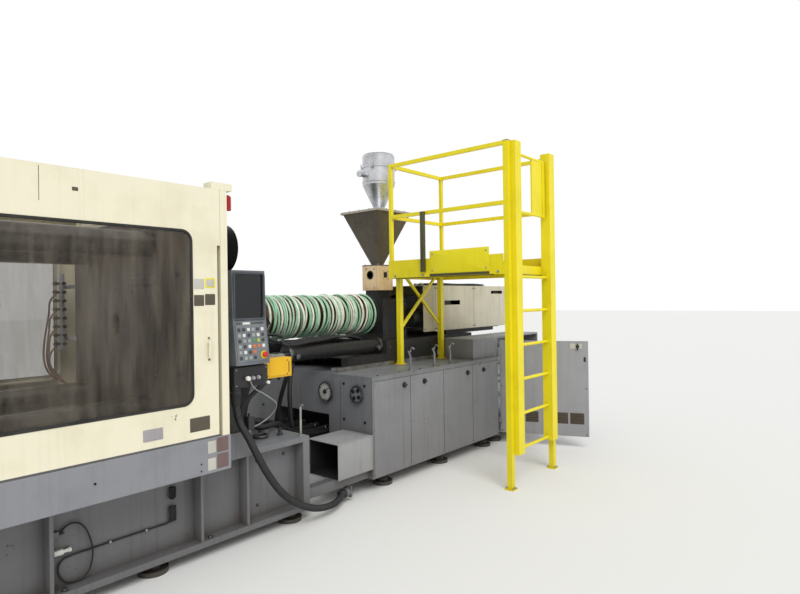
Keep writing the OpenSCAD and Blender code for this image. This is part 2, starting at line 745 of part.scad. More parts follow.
// Bar with a square section between two points of one X and Z plane
module brace(x0, z0, x1, z1, y, w) {
    l = norm([x1 - x0, z1 - z0]);
    translate([x0, y, z0]) rotate([0, -atan2(z1 - z0, x1 - x0), 0]) translate([0, -w / 2, -w / 2]) cube([l, w, w]);
}

module platform_frame() color("#f2d418") {
    rise = deck_top - 55 - inj_top - 370;
    run = rise / tan(42);
    for (x = [post_l, post_r]) {
        square_tube(x, deck_y0 - tube, 0, handrail_z, tube);
        block([x - 18, deck_y0 - tube - 18, 0], [x + tube + 18, deck_y0 + 18, 10]);
    }
    for (x = [leg_l, leg_r]) {
        square_tube(x, leg_y, inj_top, deck_top - 60 + e, tube);
        block([x - 16, leg_y - 16, inj_top], [x + tube + 16, leg_y + tube + 16, inj_top + 10]);
    }
    brace(leg_l + tube / 2, inj_top + 370, leg_l + tube / 2 + run, deck_top - 55, leg_y + tube / 2 - 11, 24);
    brace(leg_r + tube / 2, inj_top + 370, leg_r + tube / 2 - run, deck_top - 55, leg_y + tube / 2 + 11, 24);
    difference() {
        block([deck_x, deck_y0, deck_z], [deck_x1, deck_y1, deck_top]);
        block([deck_x + 8, deck_y0 + 8, deck_z - e], [deck_x1 - 8, deck_y1 - 8, deck_top + e]);
    }
    for (i = [1:3]) block([deck_x + e, deck_y0 + i * (deck_front - deck_back) / 4 - 25, deck_top - 50],
        [deck_x1 - e, deck_y0 + i * (deck_front - deck_back) / 4 + 25, deck_top]);
    sides_of_deck(leg_y, leg_y + tube);
}

// Cross members over the rear legs
module sides_of_deck(y0, y1) {
    block([deck_x + e, y0, deck_top - 60], [deck_x1 - e, y1, deck_top]);
}

module platform_deck() color("#f2d418") {
    block([deck_x, deck_y0, deck_top], [deck_x1, deck_y1, deck_top + 6]);
    block([deck_x, deck_y0, deck_top + 6 - e], [deck_x + 6, deck_y1, toe_top]);
    block([deck_x1 - 6, deck_y0, deck_top + 6 - e], [deck_x1, deck_y1, toe_top]);
    block([deck_x + e, deck_y1 - 6, deck_top + 6 - e], [deck_x1 - e, deck_y1, toe_top]);
}

module guardrails() color("#f2d418") {
    w = rail_tube;
    z0 = deck_top + 6;
    xl = deck_x + 6;
    xr = deck_x1 - 6 - w;
    yb = deck_y1 - 6 - w;
    for (x = [xl, xr]) square_tube(x, yb, z0, handrail_z, w);
    for (z = [handrail_z - w, mid_z]) {
        for (x = [xl, xr]) block([x, deck_y0, z], [x + w, yb + e, z + w]);
        block([xl + e, yb, z], [xr + e, yb + w, z + w]);
    }
    block([deck_x - 34, -940, deck_z + 50], [deck_x, -900, mid_z + 27]);
    block([deck_x - 10, -932, mid_z + 5], [xl + e, -908, mid_z + 25]);
}

// Folded side rails, open to the rear, with rungs between them
module ladder() color("#f2d418") {
    for (x = [stile_l, stile_r]) difference() {
        block([x, stile_y - stile_d, 300], [x + stile_w, stile_y, handrail_z]);
        block([x + 6, stile_y - stile_d + 6, 299], [x + stile_w - 6, stile_y + e, handrail_z + e]);
    }
    for (i = [0:5]) rod_x([stile_l + stile_w - 4, stile_y - stile_d / 2, rung_z + i * rung_pitch],
        stile_r - stile_l - stile_w + 8, rung_d);
    sides_of_gate();
}

// Hinge lugs of the ladder gate
module sides_of_gate() {
    x = stile_l + stile_w;
    for (z = [mid_z - 50, handrail_z - 90]) {
        rod_z([x + 22, stile_y - 40, z - 32], 72, 12);
        block([x - e, stile_y - 52, z - 32], [x + 28, stile_y - 28, z - 20 - clr]);
    }
}

module swing_gate() color("#f2d418") {
    x0 = stile_l + stile_w + 22;
    x1 = stile_r - 20;
    y = stile_y - 40;
    for (z = [mid_z - 50, handrail_z - 90]) difference() {
        rod_z([x0, y, z - 20], 40, 30);
        rod_z([x0, y, z - 21], 42, 12.2);
    }
    for (z = [mid_z - 50, handrail_z - 90]) rod_x([x0 + 12, y, z], x1 - x0 - 30, 26);
    block([x1 - 240, y - 8, mid_z - 60], [x1 - 40, y + 8, handrail_z - 80]);
    block([x1 - 46, y - 15, mid_z - 63], [x1, y + 15, handrail_z - 77]);
}

// Rings of the cross section, swept along a route
function tangent(p, i) = let (a = p[max(i - 1, 0)], b = p[min(i + 1, len(p) - 1)]) (b - a) / norm(b - a);
function ring(c, t, r, n, up) = let (u = cross(t, up) / norm(cross(t, up)), v = cross(u, t))
    [for (k = [0:n - 1]) c + r * (cos(360 * k / n) * u + sin(360 * k / n) * v)];
module swept(p, d, n, up, ends) {
    m = len(p);
    pts = [for (i = [0:m - 1]) each ring(p[i], i == 0 ? ends[0] : i == m - 1 ? ends[1] : tangent(p, i), d / 2, n, up)];
    walls = [for (i = [0:m - 2], k = [0:n - 1])
        [i * n + k, i * n + (k + 1) % n, (i + 1) * n + (k + 1) % n, (i + 1) * n + k]];
    caps = [[for (k = [n - 1:-1:0]) k], [for (k = [0:n - 1]) (m - 1) * n + k]];
    polyhedron(points = pts, faces = concat(walls, caps), convexity = 6);
}

module control_hose() color("#232425") swept(hose_path, hose_od, 10, [0, 1, 0], [[0, 0, -1], [1, 0, 0]]);

module sensor_cable() color("#1f2021") swept(cable_path, cable_od, 8, [0, 1, 0], [[0, 0, -1], [-1, 0, 0]]);

// Quarter-turn latch on a cover panel
module panel_latch(i) color("#2a2b2c") {
    x = [inj_start + 430, inj_start + 730, inj_start + 1470, inj_start + 1780][i - 1];
    z = plate_z - 75;
    rod_y([x, -half - 6 - clr, z], 6, 52);
    rod_y([x, -half - 16 - clr, z], 11, 36);
    block([x - 22, -half - 22 - clr, z - 6], [x + 22, -half - 15, z + 6]);
}

module traverse_rods() color("#b9bbbe") {
    for (s = [-1, 1]) {
        rod_x([fixed_t, s * traverse_y, traverse_z], 24, 110);
        rod_x([fixed_t + 20, s * traverse_y, traverse_z], sled_x0 - fixed_t - 60, traverse_rod_d);
        rod_x([sled_x0 - 80, s * traverse_y, traverse_z], 40, traverse_d - 40 - 2 * clr);
    }
}

module traverse_cylinders() color("#2b2c2e") {
    x0 = sled_x0 - 640;
    x1 = feed_x0 - 160;
    for (s = [-1, 1]) difference() {
        union() {
            rod_x([x0, s * traverse_y, traverse_z], x1 - x0, traverse_d);
            rod_x([x0, s * traverse_y, traverse_z], 40, traverse_d + 30);
            rod_x([x1 - 40, s * traverse_y, traverse_z], 40, traverse_d + 30);
        }
        rod_x([x0 - e, s * traverse_y, traverse_z], 50, traverse_rod_d + 2 * clr);
        rod_x([x0 + 40, s * traverse_y, traverse_z], x1 - x0 - 80, traverse_d - 40);
    }
}

// Sled on the injection ways, with a cantilevered beam and the traverse bracket
module carriage() color("#2b2c2e") {
    w = carriage_w / 2;
    sides() block([sled_x0, inj_way_y - 20, sled_z], [sled_x1, w, beam_z + e]);
    along_y(-w, carriage_w) polygon([[sled_x0, beam_z], [sled_x1 + 420, beam_z], [beam_x1, beam_top - 40],
        [beam_x1, beam_top], [sled_x1, beam_top], [feed_x0 - 160, beam_top], [feed_x0 - 160, beam_z + 8],
        [sled_x0, beam_z + 8]]);
}

module feed_housing() color("#2b2c2e") {
    difference() {
        union() {
            block([feed_x0, -260, beam_top], [feed_x1, 260, axis_z + 160]);
            block([hopper_x - 95, -95, axis_z + 160 - e], [hopper_x + 95, 95, neck_z]);
            rod_x([feed_x0 - 20, 0, axis_z], 21, 420);
        }
        rod_x([feed_x0 - 21, 0, axis_z], feed_x1 - feed_x0 - 39, barrel_d + 2 * clr);
        rod_x([feed_x1 - 61, 0, axis_z], 62, bore_d + 4);
        rod_z([hopper_x, 0, axis_z], 600, 90);
    }
}

module barrel() color("#7a5a48") {
    difference() {
        rod_x([barrel_x, 0, axis_z], feed_x1 - 60 - barrel_x, barrel_d);
        rod_x([barrel_x - e, 0, axis_z], feed_x1 - barrel_x, bore_d);
        rod_z([hopper_x, 0, axis_z], barrel_d, 90);
    }
}

module nozzle() color("#5d5f62") {
    translate([0, 0, axis_z]) rotate([0, 90, 0]) rotate_extrude($fn = 64) polygon([[4, 30], [14, 30], [50, 90],
        [50, 330], [80, 350], [80, 430], [135, 440], [135, barrel_x], [30, barrel_x], [4, barrel_x - 60]]);
}

module heater_bands() color("#8b6b4f") {
    n = floor((feed_x0 - 48 - barrel_x) / band_pitch);
    for (i = [0:n - 1]) difference() {
        rod_x([barrel_x + 48 + i * band_pitch, 0, axis_z], band_w, 2 * band_r);
        rod_x([barrel_x + 47 + i * band_pitch, 0, axis_z], band_w + 2, barrel_d + 2 * clr);
    }
}

// Turns of hose hung round the barrel, each a little tilted
module barrel_windings() color("#a9d3b4") {
    for (i = [0:turns - 1]) {
        lean = 2.1 * sin(137 * i);
        turn_r = (band_r + clr + hose_d / 2) / cos(lean);
        translate([feed_x0 - 60 - i * turn_pitch, 0, axis_z]) rotate([0, 90 + lean, 0])
            rotate_extrude($fn = 64) translate([turn_r, 0]) circle(d = hose_d, $fn = 24);
    }
}

module throat_block() color("#e3c89f") {
    difference() {
        block([hopper_x - throat_w / 2, -throat_w / 2, neck_z], [hopper_x + throat_w / 2, throat_w / 2, throat_z]);
        rod_z([hopper_x, 0, neck_z - e], throat_z - neck_z + 2 * e, 90);
        rod_x([hopper_x - throat_w / 2 - e, 0, throat_z - 100], throat_w / 2, 70);
        block([hopper_x - 30, -throat_w / 2 - e, throat_z - 130], [hopper_x + 30, 0, throat_z - 70]);
        block([hopper_x - 60 - clr, -60 - clr, gate_z - clr], [hopper_x + throat_w / 2 + e, 60 + clr, gate_z + gate_t + clr]);
    }
}

module slide_gate() color("#9b9c9e") {
    block([hopper_x - 60, -60, gate_z], [hopper_x + 210, 60, gate_z + gate_t]);
    rod_z([hopper_x + 190, 0, gate_z + gate_t - e], 40, 22);
}

// Square funnel with a rim and a bottom flange
module hopper() color("#5b554a") {
    difference() {
        union() {
            translate([hopper_x, 0, throat_z + 10]) linear_extrude(hopper_h - 10, scale = hopper_w / outlet_w)
                square(outlet_w, center = true);
            block([hopper_x - throat_w / 2, -throat_w / 2, throat_z], [hopper_x + throat_w / 2, throat_w / 2, throat_z + 12]);
        }
        translate([hopper_x, 0, throat_z + 10]) linear_extrude(hopper_h - 10, scale = (hopper_w - 2 * hopper_wall) / (outlet_w - 2 * hopper_wall))
            square(outlet_w - 2 * hopper_wall, center = true);
        rod_z([hopper_x, 0, throat_z - e], 12, 78);
    }
    difference() {
        block([hopper_x - hopper_w / 2 - 14, -hopper_w / 2 - 14, lid_z - 5], [hopper_x + hopper_w / 2 + 14, hopper_w / 2 + 14, lid_z]);
        block([hopper_x - hopper_w / 2 + 6, -hopper_w / 2 + 6, lid_z - 6], [hopper_x + hopper_w / 2 - 6, hopper_w / 2 - 6, lid_z + e]);
    }
}

module hopper_lid() color("#9a9c9e") {
    difference() {
        block([hopper_x - hopper_w / 2 - 8, -hopper_w / 2 - 8, lid_z], [hopper_x + hopper_w / 2 + 8, hopper_w / 2 + 8, lid_z + lid_t]);
        rod_z([hopper_x + loader_shift, 0, lid_z - e], lid_t + 2 * e, 130);
    }
}

// Round vacuum loader with a cone and a spigot
module loader() color("#b9bbbe") {
    r = loader_d / 2;
    z0 = lid_z + lid_t;
    z1 = z0 + loader_cone_h;
    translate([hopper_x + loader_shift, 0, 0]) rotate_extrude($fn = 96) polygon([[60, z0], [110, z0], [110, z0 + 8], [64, z0 + 8],
        [64, z0 + 60], [r, z1], [r, z1 + 189], [r + 9, z1 + 189], [r + 9, z1 + 213], [r, z1 + 213],
        [r, z1 + loader_h - 14], [r - 14, z1 + loader_h], [0, z1 + loader_h], [0, z1 + loader_h - 4],
        [r - 16, z1 + loader_h - 4], [r - 4, z1 + loader_h - 16], [r - 4, z1 + 2], [60, z0 + 62]]);
    rod_x([hopper_x + loader_shift - r - 70, 60, z1 + 110], 80, 60);
}

// Rear plate and guide rods that the crosshead runs on
module injection_housing() color("#3a3c3f") {
    block([rear_plate_x, -370, beam_top + 40], [rear_plate_x + 120, 370, axis_z + 230]);
    for (s = [-1, 1]) {
        rod_x([feed_x1, s * guide_y, axis_z - 60], rear_plate_x - feed_x1 + e, guide_d);
        rod_x([feed_x1, s * guide_y, axis_z - 60], 150, 200);
        block([beam_x1 - 400, s * 330 - 30, beam_top], [rear_plate_x + e, s * 330 + 30, beam_top + 50]);
    }
}

// Folded cover over the injection drive, with two grip slots in each side
module injection_cover() color("#cfc9b4") {
    difference() {
        block([cover_x, -cover_w / 2, cover_z], [cover_x + cover_l, cover_w / 2, cover_top]);
        block([cover_x - e, -cover_w / 2 + skin_t, cover_z - e],
            [cover_x + cover_l - skin_t, cover_w / 2 - skin_t, cover_top - skin_t]);
        block([cover_x + 400, -cover_w, 1595], [cover_x + 720, cover_w, 1645]);
        block([cover_x + cover_l - 390, -cover_w, 1722], [cover_x + cover_l - 110, cover_w, 1760]);
    }
    sides() block([rear_plate_x + 20, 370, cover_z + 60], [rear_plate_x + 100, cover_w / 2 - 3, cover_z + 300]);
}

module crosshead() color("#4a4c50") {
    difference() {
        union() {
            block([cross_x, -360, axis_z - 190], [cross_x + cross_l, 360, axis_z + 190]);
            rod_x([cross_x + cross_l - e, 0, axis_z], 60, 300);
            rod_x([cross_x + cross_l + 58, 0, axis_z], 320, motor_d);
            for (i = [0:11]) translate([cross_x + cross_l + 58, 0, axis_z]) rotate([30 * i, 0, 0])
                translate([300, 0, motor_d / 2 - 60]) rotate([0, 90, 0]) cylinder(h = 34, d = 26, $fn = 6);
        }
        for (s = [-1, 1]) rod_x([cross_x - e, s * guide_y, axis_z - 60], cross_l + 2 * e, guide_d + 2 * clr);
        rod_x([cross_x - e, 0, axis_z], 81, 100 + 2 * clr);
    }
}

// Plasticising screw with its flight, and its shank in the crosshead
module screw() color("#a6a8ab") {
    d = bore_d - 2 * clr - 1;
    x0 = barrel_x + 70;
    x1 = feed_x1 - 90;
    pitch = 100;
    n = floor((x1 - x0 - 120) / pitch);
    rod_x([x0 + 60, 0, axis_z], x1 - x0 - 60, 74);
    translate([x0, 0, axis_z]) rotate([0, 90, 0]) cylinder(h = 61, r1 = 6, r2 = 34, $fn = 48);
    rod_x([x1 - e, 0, axis_z], cross_x + 20 - x1, 96);
    rod_x([cross_x - 10, 0, axis_z], 90 - clr, 100);
    flight = [for (i = [0:8 * n]) [x0 + 80 + i * pitch / 8, (d / 2 - 11) * cos(45 * i), (d / 2 - 11) * sin(45 * i)]];
    translate([0, 0, axis_z]) swept(flight, 22, 4, [1, 0, 0], [[0, 0, 1], [0, 0, 1]]);
}

module door_outline() {
    polygon([[door_back, door_z], [door_edge, door_z], [door_edge, slot_top], [post_x - 2, slot_top],
        [post_x - 2, guard_top], [door_back, guard_top]]);
}

module window_outline(g) {
    round_rect(window_x0 - g, window_z - g, window_x1 - window_x0 + 2 * g, window_h + 2 * g, window_r + g);
}

// Folded door skin with returned edges and a frame round the window
module door_shell() {
    difference() {
        along_y(-guard_y, door_t) door_outline();
        along_y(-guard_y + skin_t, door_t) difference() {
            translate([door_back + skin_t, door_z + skin_t])
                square([door_l - 2 * skin_t, guard_top - door_z - 2 * skin_t]);
            difference() {
                window_outline(40);
                window_outline(21);
            }
        }
        along_y(-guard_y - e, door_t + 2 * e) window_outline(0);
    }
}

module operator_door() color("#ece6c8") {
    x = door_edge - 66;
    door_shell();
    rod_y([x, -guard_y - 12, 1425], 13, 22);
    block([x - 8, -guard_y - 18, 1330], [x + 8, -guard_y - 10, 1436]);
}

module operator_window() color("#6b655c", 0.5) {
    along_y(-guard_y + skin_t, pane_t) window_outline(20);
}

module rear_door() color("#ece6c8") {
    mirror([0, 1, 0]) {
        door_shell();
        block([door_edge - 74, -guard_y - 14, 1330], [door_edge - 58, -guard_y + e, 1436]);
    }
}

module rear_window() color("#6b655c", 0.5) {
    mirror([0, 1, 0]) along_y(-guard_y + skin_t, pane_t) window_outline(20);
}

module on_keypad(p) {
    translate([control_x, -control_y - 38, control_z]) rotate([-tilt, 0, 0]) translate(p) children();
}

// Moulded housing: upright screen above a keypad face that slopes out
module control_housing() color("#7d8084") {
    z1 = control_z + control_h;
    difference() {
        along_x(control_x, panel_l) polygon([[-control_y + 152, control_z], [-control_y + 152, z1],
            [-control_y + 12, z1], [-control_y, control_z + keypad_h], [-control_y - 38, control_z]]);
        block([control_x + 20, -control_y - 20, control_z + keypad_h + 22],
            [control_x + panel_l - 20, -control_y + 22, z1 - 25]);
        rod_z([swivel_x, -swivel_y, control_z - e], 62, swivel_d + 2 * clr);
        on_keypad([panel_l - 45, -e, 60]) rotate([-90, 0, 0]) cylinder(h = 30, d = 16.6, $fn = 32);
    }
}

module control_screen() color("#2a2f36") {
    block([control_x + 20, -control_y + 14, control_z + keypad_h + 22],
        [control_x + panel_l - 20, -control_y + 22, control_z + control_h - 25]);
}

// Button plate with raised keys
module keypad() color("#b9bcb8") {
    on_keypad([0, 0, 0]) {
        difference() {
            block([15, -keypad_t, 22], [panel_l - 15, 0, keypad_h - 18]);
            translate([panel_l - 45, -keypad_t - e, 60]) rotate([-90, 0, 0]) cylinder(h = keypad_t + 2 * e, d = 22, $fn = 32);
        }
        for (i = [0:5], j = [0:5]) if (i < 4 || j > 1)
            block([24 + i * 37, -keypad_t - 2, 34 + j * 38], [50 + i * 37, -keypad_t + 0.5, 60 + j * 38]);
    }
}

module emergency_stop() color("#c8261e") {
    on_keypad([panel_l - 45, 0, 60]) {
        rotate([90, 0, 0]) translate([0, 0, -20]) cylinder(h = 36, d = 16, $fn = 32);
        rotate([90, 0, 0]) translate([0, 0, 14]) cylinder(h = 9, d = stop_d, $fn = 48);
        rotate([90, 0, 0]) translate([0, 0, 23]) cylinder(h = 4, d1 = stop_d, d2 = stop_d - 14, $fn = 48);
    }
}

module vent(s, w) {
    for (k = [0:5]) block([s, -e, leaf_z + 140 + k * 20], [s + w, cabinet_door_t + e, leaf_z + 152 + k * 20]);
}

// Cabinet door on its pins, drawn closed and then swung open
module cabinet_door() color("#9a9ba0") {
    translate([hinge_x, -hinge_y, 0]) rotate([0, 0, -door_open]) {
        difference() {
            block([8, 0, leaf_z], [leaf_l, cabinet_door_t, leaf_z + leaf_h]);
            block([30, 2, leaf_z + 22], [leaf_l - 22, cabinet_door_t + e, leaf_z + 120]);
            block([30, 2, leaf_z + 280], [leaf_l - 22, cabinet_door_t + e, leaf_z + leaf_h - 22]);
            for (v = [[200, 80], [300, 130], [620, 130], [780, 140]]) vent(v[0], v[1]);
            for (z = [leaf_z + 110, leaf_z + leaf_h - 170]) block([-e, -e, z - 12], [20, 26, z + 63]);
        }
        for (z = [leaf_z + 110, leaf_z + leaf_h - 170]) difference() {
            union() {
                rod_z([0, 0, z], 60, hinge_d + 8);
                block([0, 3, z], [30, 9, z + 60]);
            }
            rod_z([0, 0, z - e], 62, hinge_d + 0.1);
        }
    }
}

module cabinet_latch() color("#2a2b2c") {
    translate([hinge_x, -hinge_y, 0]) rotate([0, 0, -door_open]) {
        z = leaf_z + leaf_h - 60;
        rod_y([leaf_l - 110, -9 - clr, z], 9, 34);
        block([leaf_l - 116, -26 - clr, z - 34], [leaf_l - 104, -8 - clr, z + 34]);
    }
}

clamp_base();
injection_base();
side_panels();
levelling_feet();
step_box();
machine_ways();
stationary_platen();
rear_platen();
clamp_cylinder();
tie_bars();
guard_frame();
guard_rail();
fixed_guards();
alarm_beacon();
panel_arm();
terminal_box();
power_cabinet();
cabinet_backplate();
hydraulic_tank();
platform_frame();
platform_deck();
guardrails();
ladder();
control_hose();
sensor_cable();
panel_latch(1);  // panel_latch_1
panel_latch(2);  // panel_latch_2
panel_latch(3);  // panel_latch_3
panel_latch(4);  // panel_latch_4
traverse_rods();
carriage();
feed_housing();
barrel();
nozzle();
heater_bands();
barrel_windings();
throat_block();
hopper();
hopper_lid();
loader();
injection_housing();
injection_cover();
traverse_cylinders();
operator_door();
operator_window();
rear_door();
rear_window();
moving_platen();
clamp_ram();
ejector();
crosshead();
screw();
slide_gate();
control_housing();
control_screen();
keypad();
emergency_stop();
swing_gate();
cabinet_door();
cabinet_latch();
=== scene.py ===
"""Looks of the injection moulding machine: finishes, cords, seals, fittings and fasteners on its solids."""

import math

import bpy
import numpy as np
from bpy.props import FloatProperty, FloatVectorProperty, IntProperty, PointerProperty
from mathutils import Matrix, Vector


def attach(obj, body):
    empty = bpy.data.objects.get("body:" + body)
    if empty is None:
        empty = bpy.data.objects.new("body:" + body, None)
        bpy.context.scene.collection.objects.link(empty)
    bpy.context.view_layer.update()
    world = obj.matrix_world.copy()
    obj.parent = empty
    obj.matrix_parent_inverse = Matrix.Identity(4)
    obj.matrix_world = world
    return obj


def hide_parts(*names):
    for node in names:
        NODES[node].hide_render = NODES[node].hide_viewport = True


bl_info = {
    "name": "Injection moulding machine looks",
    "version": (1, 0, 0),
    "blender": (4, 5, 0),
    "location": "View3D > Sidebar > Machine",
    "description": "Finishes and fittings of an injection moulding machine with an access platform",
    "category": "Object",
}

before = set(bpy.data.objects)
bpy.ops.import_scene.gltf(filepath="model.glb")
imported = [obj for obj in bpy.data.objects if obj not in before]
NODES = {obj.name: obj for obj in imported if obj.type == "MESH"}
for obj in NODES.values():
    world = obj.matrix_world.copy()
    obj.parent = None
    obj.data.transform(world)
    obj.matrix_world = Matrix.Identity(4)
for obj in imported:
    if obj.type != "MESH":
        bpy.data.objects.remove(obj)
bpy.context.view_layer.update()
X, Y, Z = np.eye(3)

# The photograph's camera: its width and focal length in pixels, its place in metres and its angles in degrees
PHOTO_WIDTH_PX = 800
FOCAL_PX = 574.1
CAMERA_AT = (-1.86, -4.35, 1.685)
CAMERA_YAW_PITCH_ROLL = (40.4565, 0.079, 0.8088)

# Stations of the solids in metres; a Y is that of the operator's side
AXIS_Z = 1.517  # middle of the clamp and the barrel
TIE_BAR = 0.55  # from the middle to a tie bar, both ways
GUARD_Y = -1.130  # face of the sliding door and its rail
WINDOW = (-1.700, 1.060, -0.031, 2.105)  # lowest X and Z of its opening, then the highest
PLATEN_Y = -0.75
WEB_Y = -0.850  # web of the bed's side member
BED_TOP = 0.640
SCREEN_Y = -1.052  # face of the panel's housing
KEYPAD_CORNER = np.array([0.305, -1.090, 1.250])
KEYPAD_TILT = math.atan2(38, 290)
BANDS = 0.633 + 0.13 * np.arange(4)  # middles of the heater bands
BASE_X = 1.740  # end face of the injection base
BASE_Y = -0.950
HOPPER_X = 2.860
HOPPER_HALF = 0.2715  # half the width of its rim
LOADER = np.array([2.900, 0.0, 0.0])
COVER_Y = -0.400
PLATFORM_X = 2.530  # its side towards the clamp
HINGE = np.array([3.885, -0.930, 0.0])  # of the cabinet's door
DOOR_OPEN = math.radians(68)  # its angle in the solids
CABINET_X = (3.88, 4.36, 4.84)  # screws of its top and back


def linear(code):
    """Opaque colour for a socket from an sRGB hex code: each channel's sRGB curve undone."""
    c = np.array([int(code[i:i + 2], 16) for i in (1, 3, 5)]) / 255
    c = np.where(c <= 0.04045, c / 12.92, ((c + 0.055) / 1.055) ** 2.4)
    return (*c.tolist(), 1.0)


# Shapes: each is a pair of arrays, points (n, 3) and faces (m, 4) with -1 where a face is a triangle


def merged(*shapes):
    """Several shapes as one: points stacked, and each shape's face numbers raised by the points before it."""
    start, points, faces = 0, [], []
    for p, f in shapes:
        points.append(p)
        faces.append(np.where(f < 0, -1, f + start))
        start += len(p)
    return np.concatenate(points), np.concatenate(faces)


def reversed_faces(faces):
    """Each face's corners in the opposite order, triangles kept at the front of their row."""
    return np.where(faces[:, 3:] < 0, np.concatenate([faces[:, 2::-1], faces[:, 3:]], 1), faces[:, ::-1])


def outward(points, faces):
    """Faces of a closed skin that point outwards: reversed where the volume they enclose, the sum over their
    triangles of a . (b x c), is negative."""
    a, b, c = (points[faces[:, k]] for k in range(3))
    four = faces[:, 3] >= 0
    volume = np.sum(a * np.cross(b, c)) + np.sum(a[four] * np.cross(c[four], points[faces[four, 3]]))
    return points, reversed_faces(faces) if volume < 0 else faces


def surface(grid, loop=False):
    """Closed skin over a grid of points (rows, columns, 3): each cell is a face and the last column joins the
    first. With loop the last row joins the first; without, fans about the mean points close the end rows."""
    rows, cols = grid.shape[:2]
    i = np.arange(rows if loop else rows - 1)[:, None]
    j = np.arange(cols)[None, :]
    up, right = (i + 1) % rows, (j + 1) % cols
    faces = np.stack([i * cols + j, i * cols + right, up * cols + right, up * cols + j], -1).reshape(-1, 4)
    points = grid.reshape(-1, 3)
    if not loop:
        k = np.arange(cols)
        after, last = (k + 1) % cols, (rows - 1) * cols
        first = np.stack([after, k, np.full(cols, len(points)), np.full(cols, -1)], -1)
        final = np.stack([last + k, last + after, np.full(cols, len(points) + 1), np.full(cols, -1)], -1)
        points = np.concatenate([points, [grid[0].mean(0), grid[-1].mean(0)]])
        faces = np.concatenate([faces, first, final])
    return outward(points, faces)


def unit(v):
    """Vectors scaled to length one."""
    v = np.asarray(v, float)
    return v / np.linalg.norm(v, axis=-1, keepdims=True)


def angles(count, start=0.0):
    """Even angles round a full circle."""
    return start + np.arange(count) * 2 * np.pi / count


def smooth(points, step=0.01):
    """Even points along the cubic through the given ones, each with the slope of its two neighbours' chord."""
    p = np.asarray(points, float)
    gap = np.linalg.norm(np.diff(p, axis=0), axis=1)
    at = np.concatenate([[0], np.cumsum(gap)])
    slope = np.gradient(p, at, axis=0)
    t = np.linspace(0, at[-1], max(8, int(at[-1] / step * 3)))
    i = np.clip(np.searchsorted(at, t, side="right") - 1, 0, len(gap) - 1)
    h = gap[i][:, None]
    u = ((t - at[i]) / gap[i])[:, None]
    q = ((2 * u**3 - 3 * u**2 + 1) * p[i] + (u**3 - 2 * u**2 + u) * h * slope[i]
         + (3 * u**2 - 2 * u**3) * p[i + 1] + (u**3 - u**2) * h * slope[i + 1])
    run = np.concatenate([[0], np.cumsum(np.linalg.norm(np.diff(q, axis=0), axis=1))])
    even = np.linspace(0, run[-1], max(4, int(round(run[-1] / step)) + 1))
    return np.stack([np.interp(even, run, q[:, k]) for k in range(3)], -1)


def tube(path, radius, sides=12, up=Z):
    """Circles square to the path and set by the direction up; the radius is one number or one a point."""
    path = np.asarray(path, float)
    along = unit(np.gradient(path, axis=0))
    up = np.asarray(up, float)
    u = unit(up - (along @ up)[:, None] * along)[:, None]
    v = np.cross(along[:, None], u)
    a = angles(sides)[:, None]
    r = np.broadcast_to(radius, len(path))[:, None, None]
    return surface(path[:, None] + r * (np.cos(a) * u + np.sin(a) * v))


def turned(profile, at, axis=Z, sides=32):
    """Profile of (distance along the axis, radius) pairs turned round the axis through a point."""
    profile = np.asarray(profile, float)[..., None]
    axis = unit(axis)
    u = unit(np.cross(axis, X if abs(axis[0]) < 0.8 else Y))
    a = angles(sides)[:, None]
    ring = np.cos(a) * u + np.sin(a) * np.cross(axis, u)
    return surface(np.asarray(at) + profile[:, :1] * axis + profile[:, 1:] * ring)


def outline(width, height, corner, per_corner=5):
    """Rounded rectangle about the origin, anticlockwise: four quarter circles set in from the corners."""
    corner = max(min(corner, width / 2 - 1e-5, height / 2 - 1e-5), 1e-5)
    a = np.linspace(0, np.pi / 2, per_corner)[None] + np.arange(4)[:, None] * np.pi / 2
    cx = np.array([1, -1, -1, 1])[:, None] * (width / 2 - corner)
    cy = np.array([1, 1, -1, -1])[:, None] * (height / 2 - corner)
    return np.stack([cx + corner * np.cos(a), cy + corner * np.sin(a)], -1).reshape(-1, 2)


def pad(at, along, across, width, height, depth, corner=0.003, edge=0.0015, both=False):
    """Rounded rectangle carried outwards by depth from its back face's centre. Its front rim is a quarter
    circle of the edge size, and with both its back rim is too."""
    along, across = unit(along), unit(across)
    turn = np.linspace(0, np.pi / 2, 4)
    s, c = edge * np.sin(turn), edge * np.cos(turn)
    levels = [*zip(edge - c, edge - s)] if both else [(0.0, 0.0)]
    levels += zip(depth - edge + s, edge - c)
    flats = [outline(width - 2 * inset, height - 2 * inset, corner - inset / 2) for _, inset in levels]
    rows = np.array([np.insert(flat, 2, lift, axis=1) for flat, (lift, _) in zip(flats, levels)])
    return surface(np.asarray(at, float) + rows @ np.array([along, across, np.cross(along, across)]))


def box(low, high, edge=0.002):
    """Box between two corners with rounded edges."""
    low, high = np.asarray(low, float), np.asarray(high, float)
    size, mid = high - low, (low + high) / 2
    edge = min(edge, size.min() / 3)
    return pad((mid[0], mid[1], low[2]), X, Y, *size, corner=edge * 1.5, edge=edge, both=True)


def rim(loop, out, normal, profile):
    """Small closed profile of (outward, forward) pairs carried round a closed loop of points."""
    profile = np.asarray(profile, float)
    return surface(loop[:, None] + profile[:, :1] * out[:, None] + profile[:, 1:] * normal, loop=True)


def window_rim(x0, z0, x1, z1, corner, y, facing, profile):
    """Profile carried round an upright rounded rectangle in the plane of one Y."""
    flat = outline(x1 - x0, z1 - z0, corner, 9)
    inner = outline(x1 - x0 - 0.002, z1 - z0 - 0.002, corner - 0.001, 9)
    loop = np.insert(flat + ((x0 + x1) / 2, (z0 + z1) / 2), 1, y, axis=1)
    return rim(loop, unit(np.insert(flat - inner, 1, 0, axis=1)), facing * Y, profile)


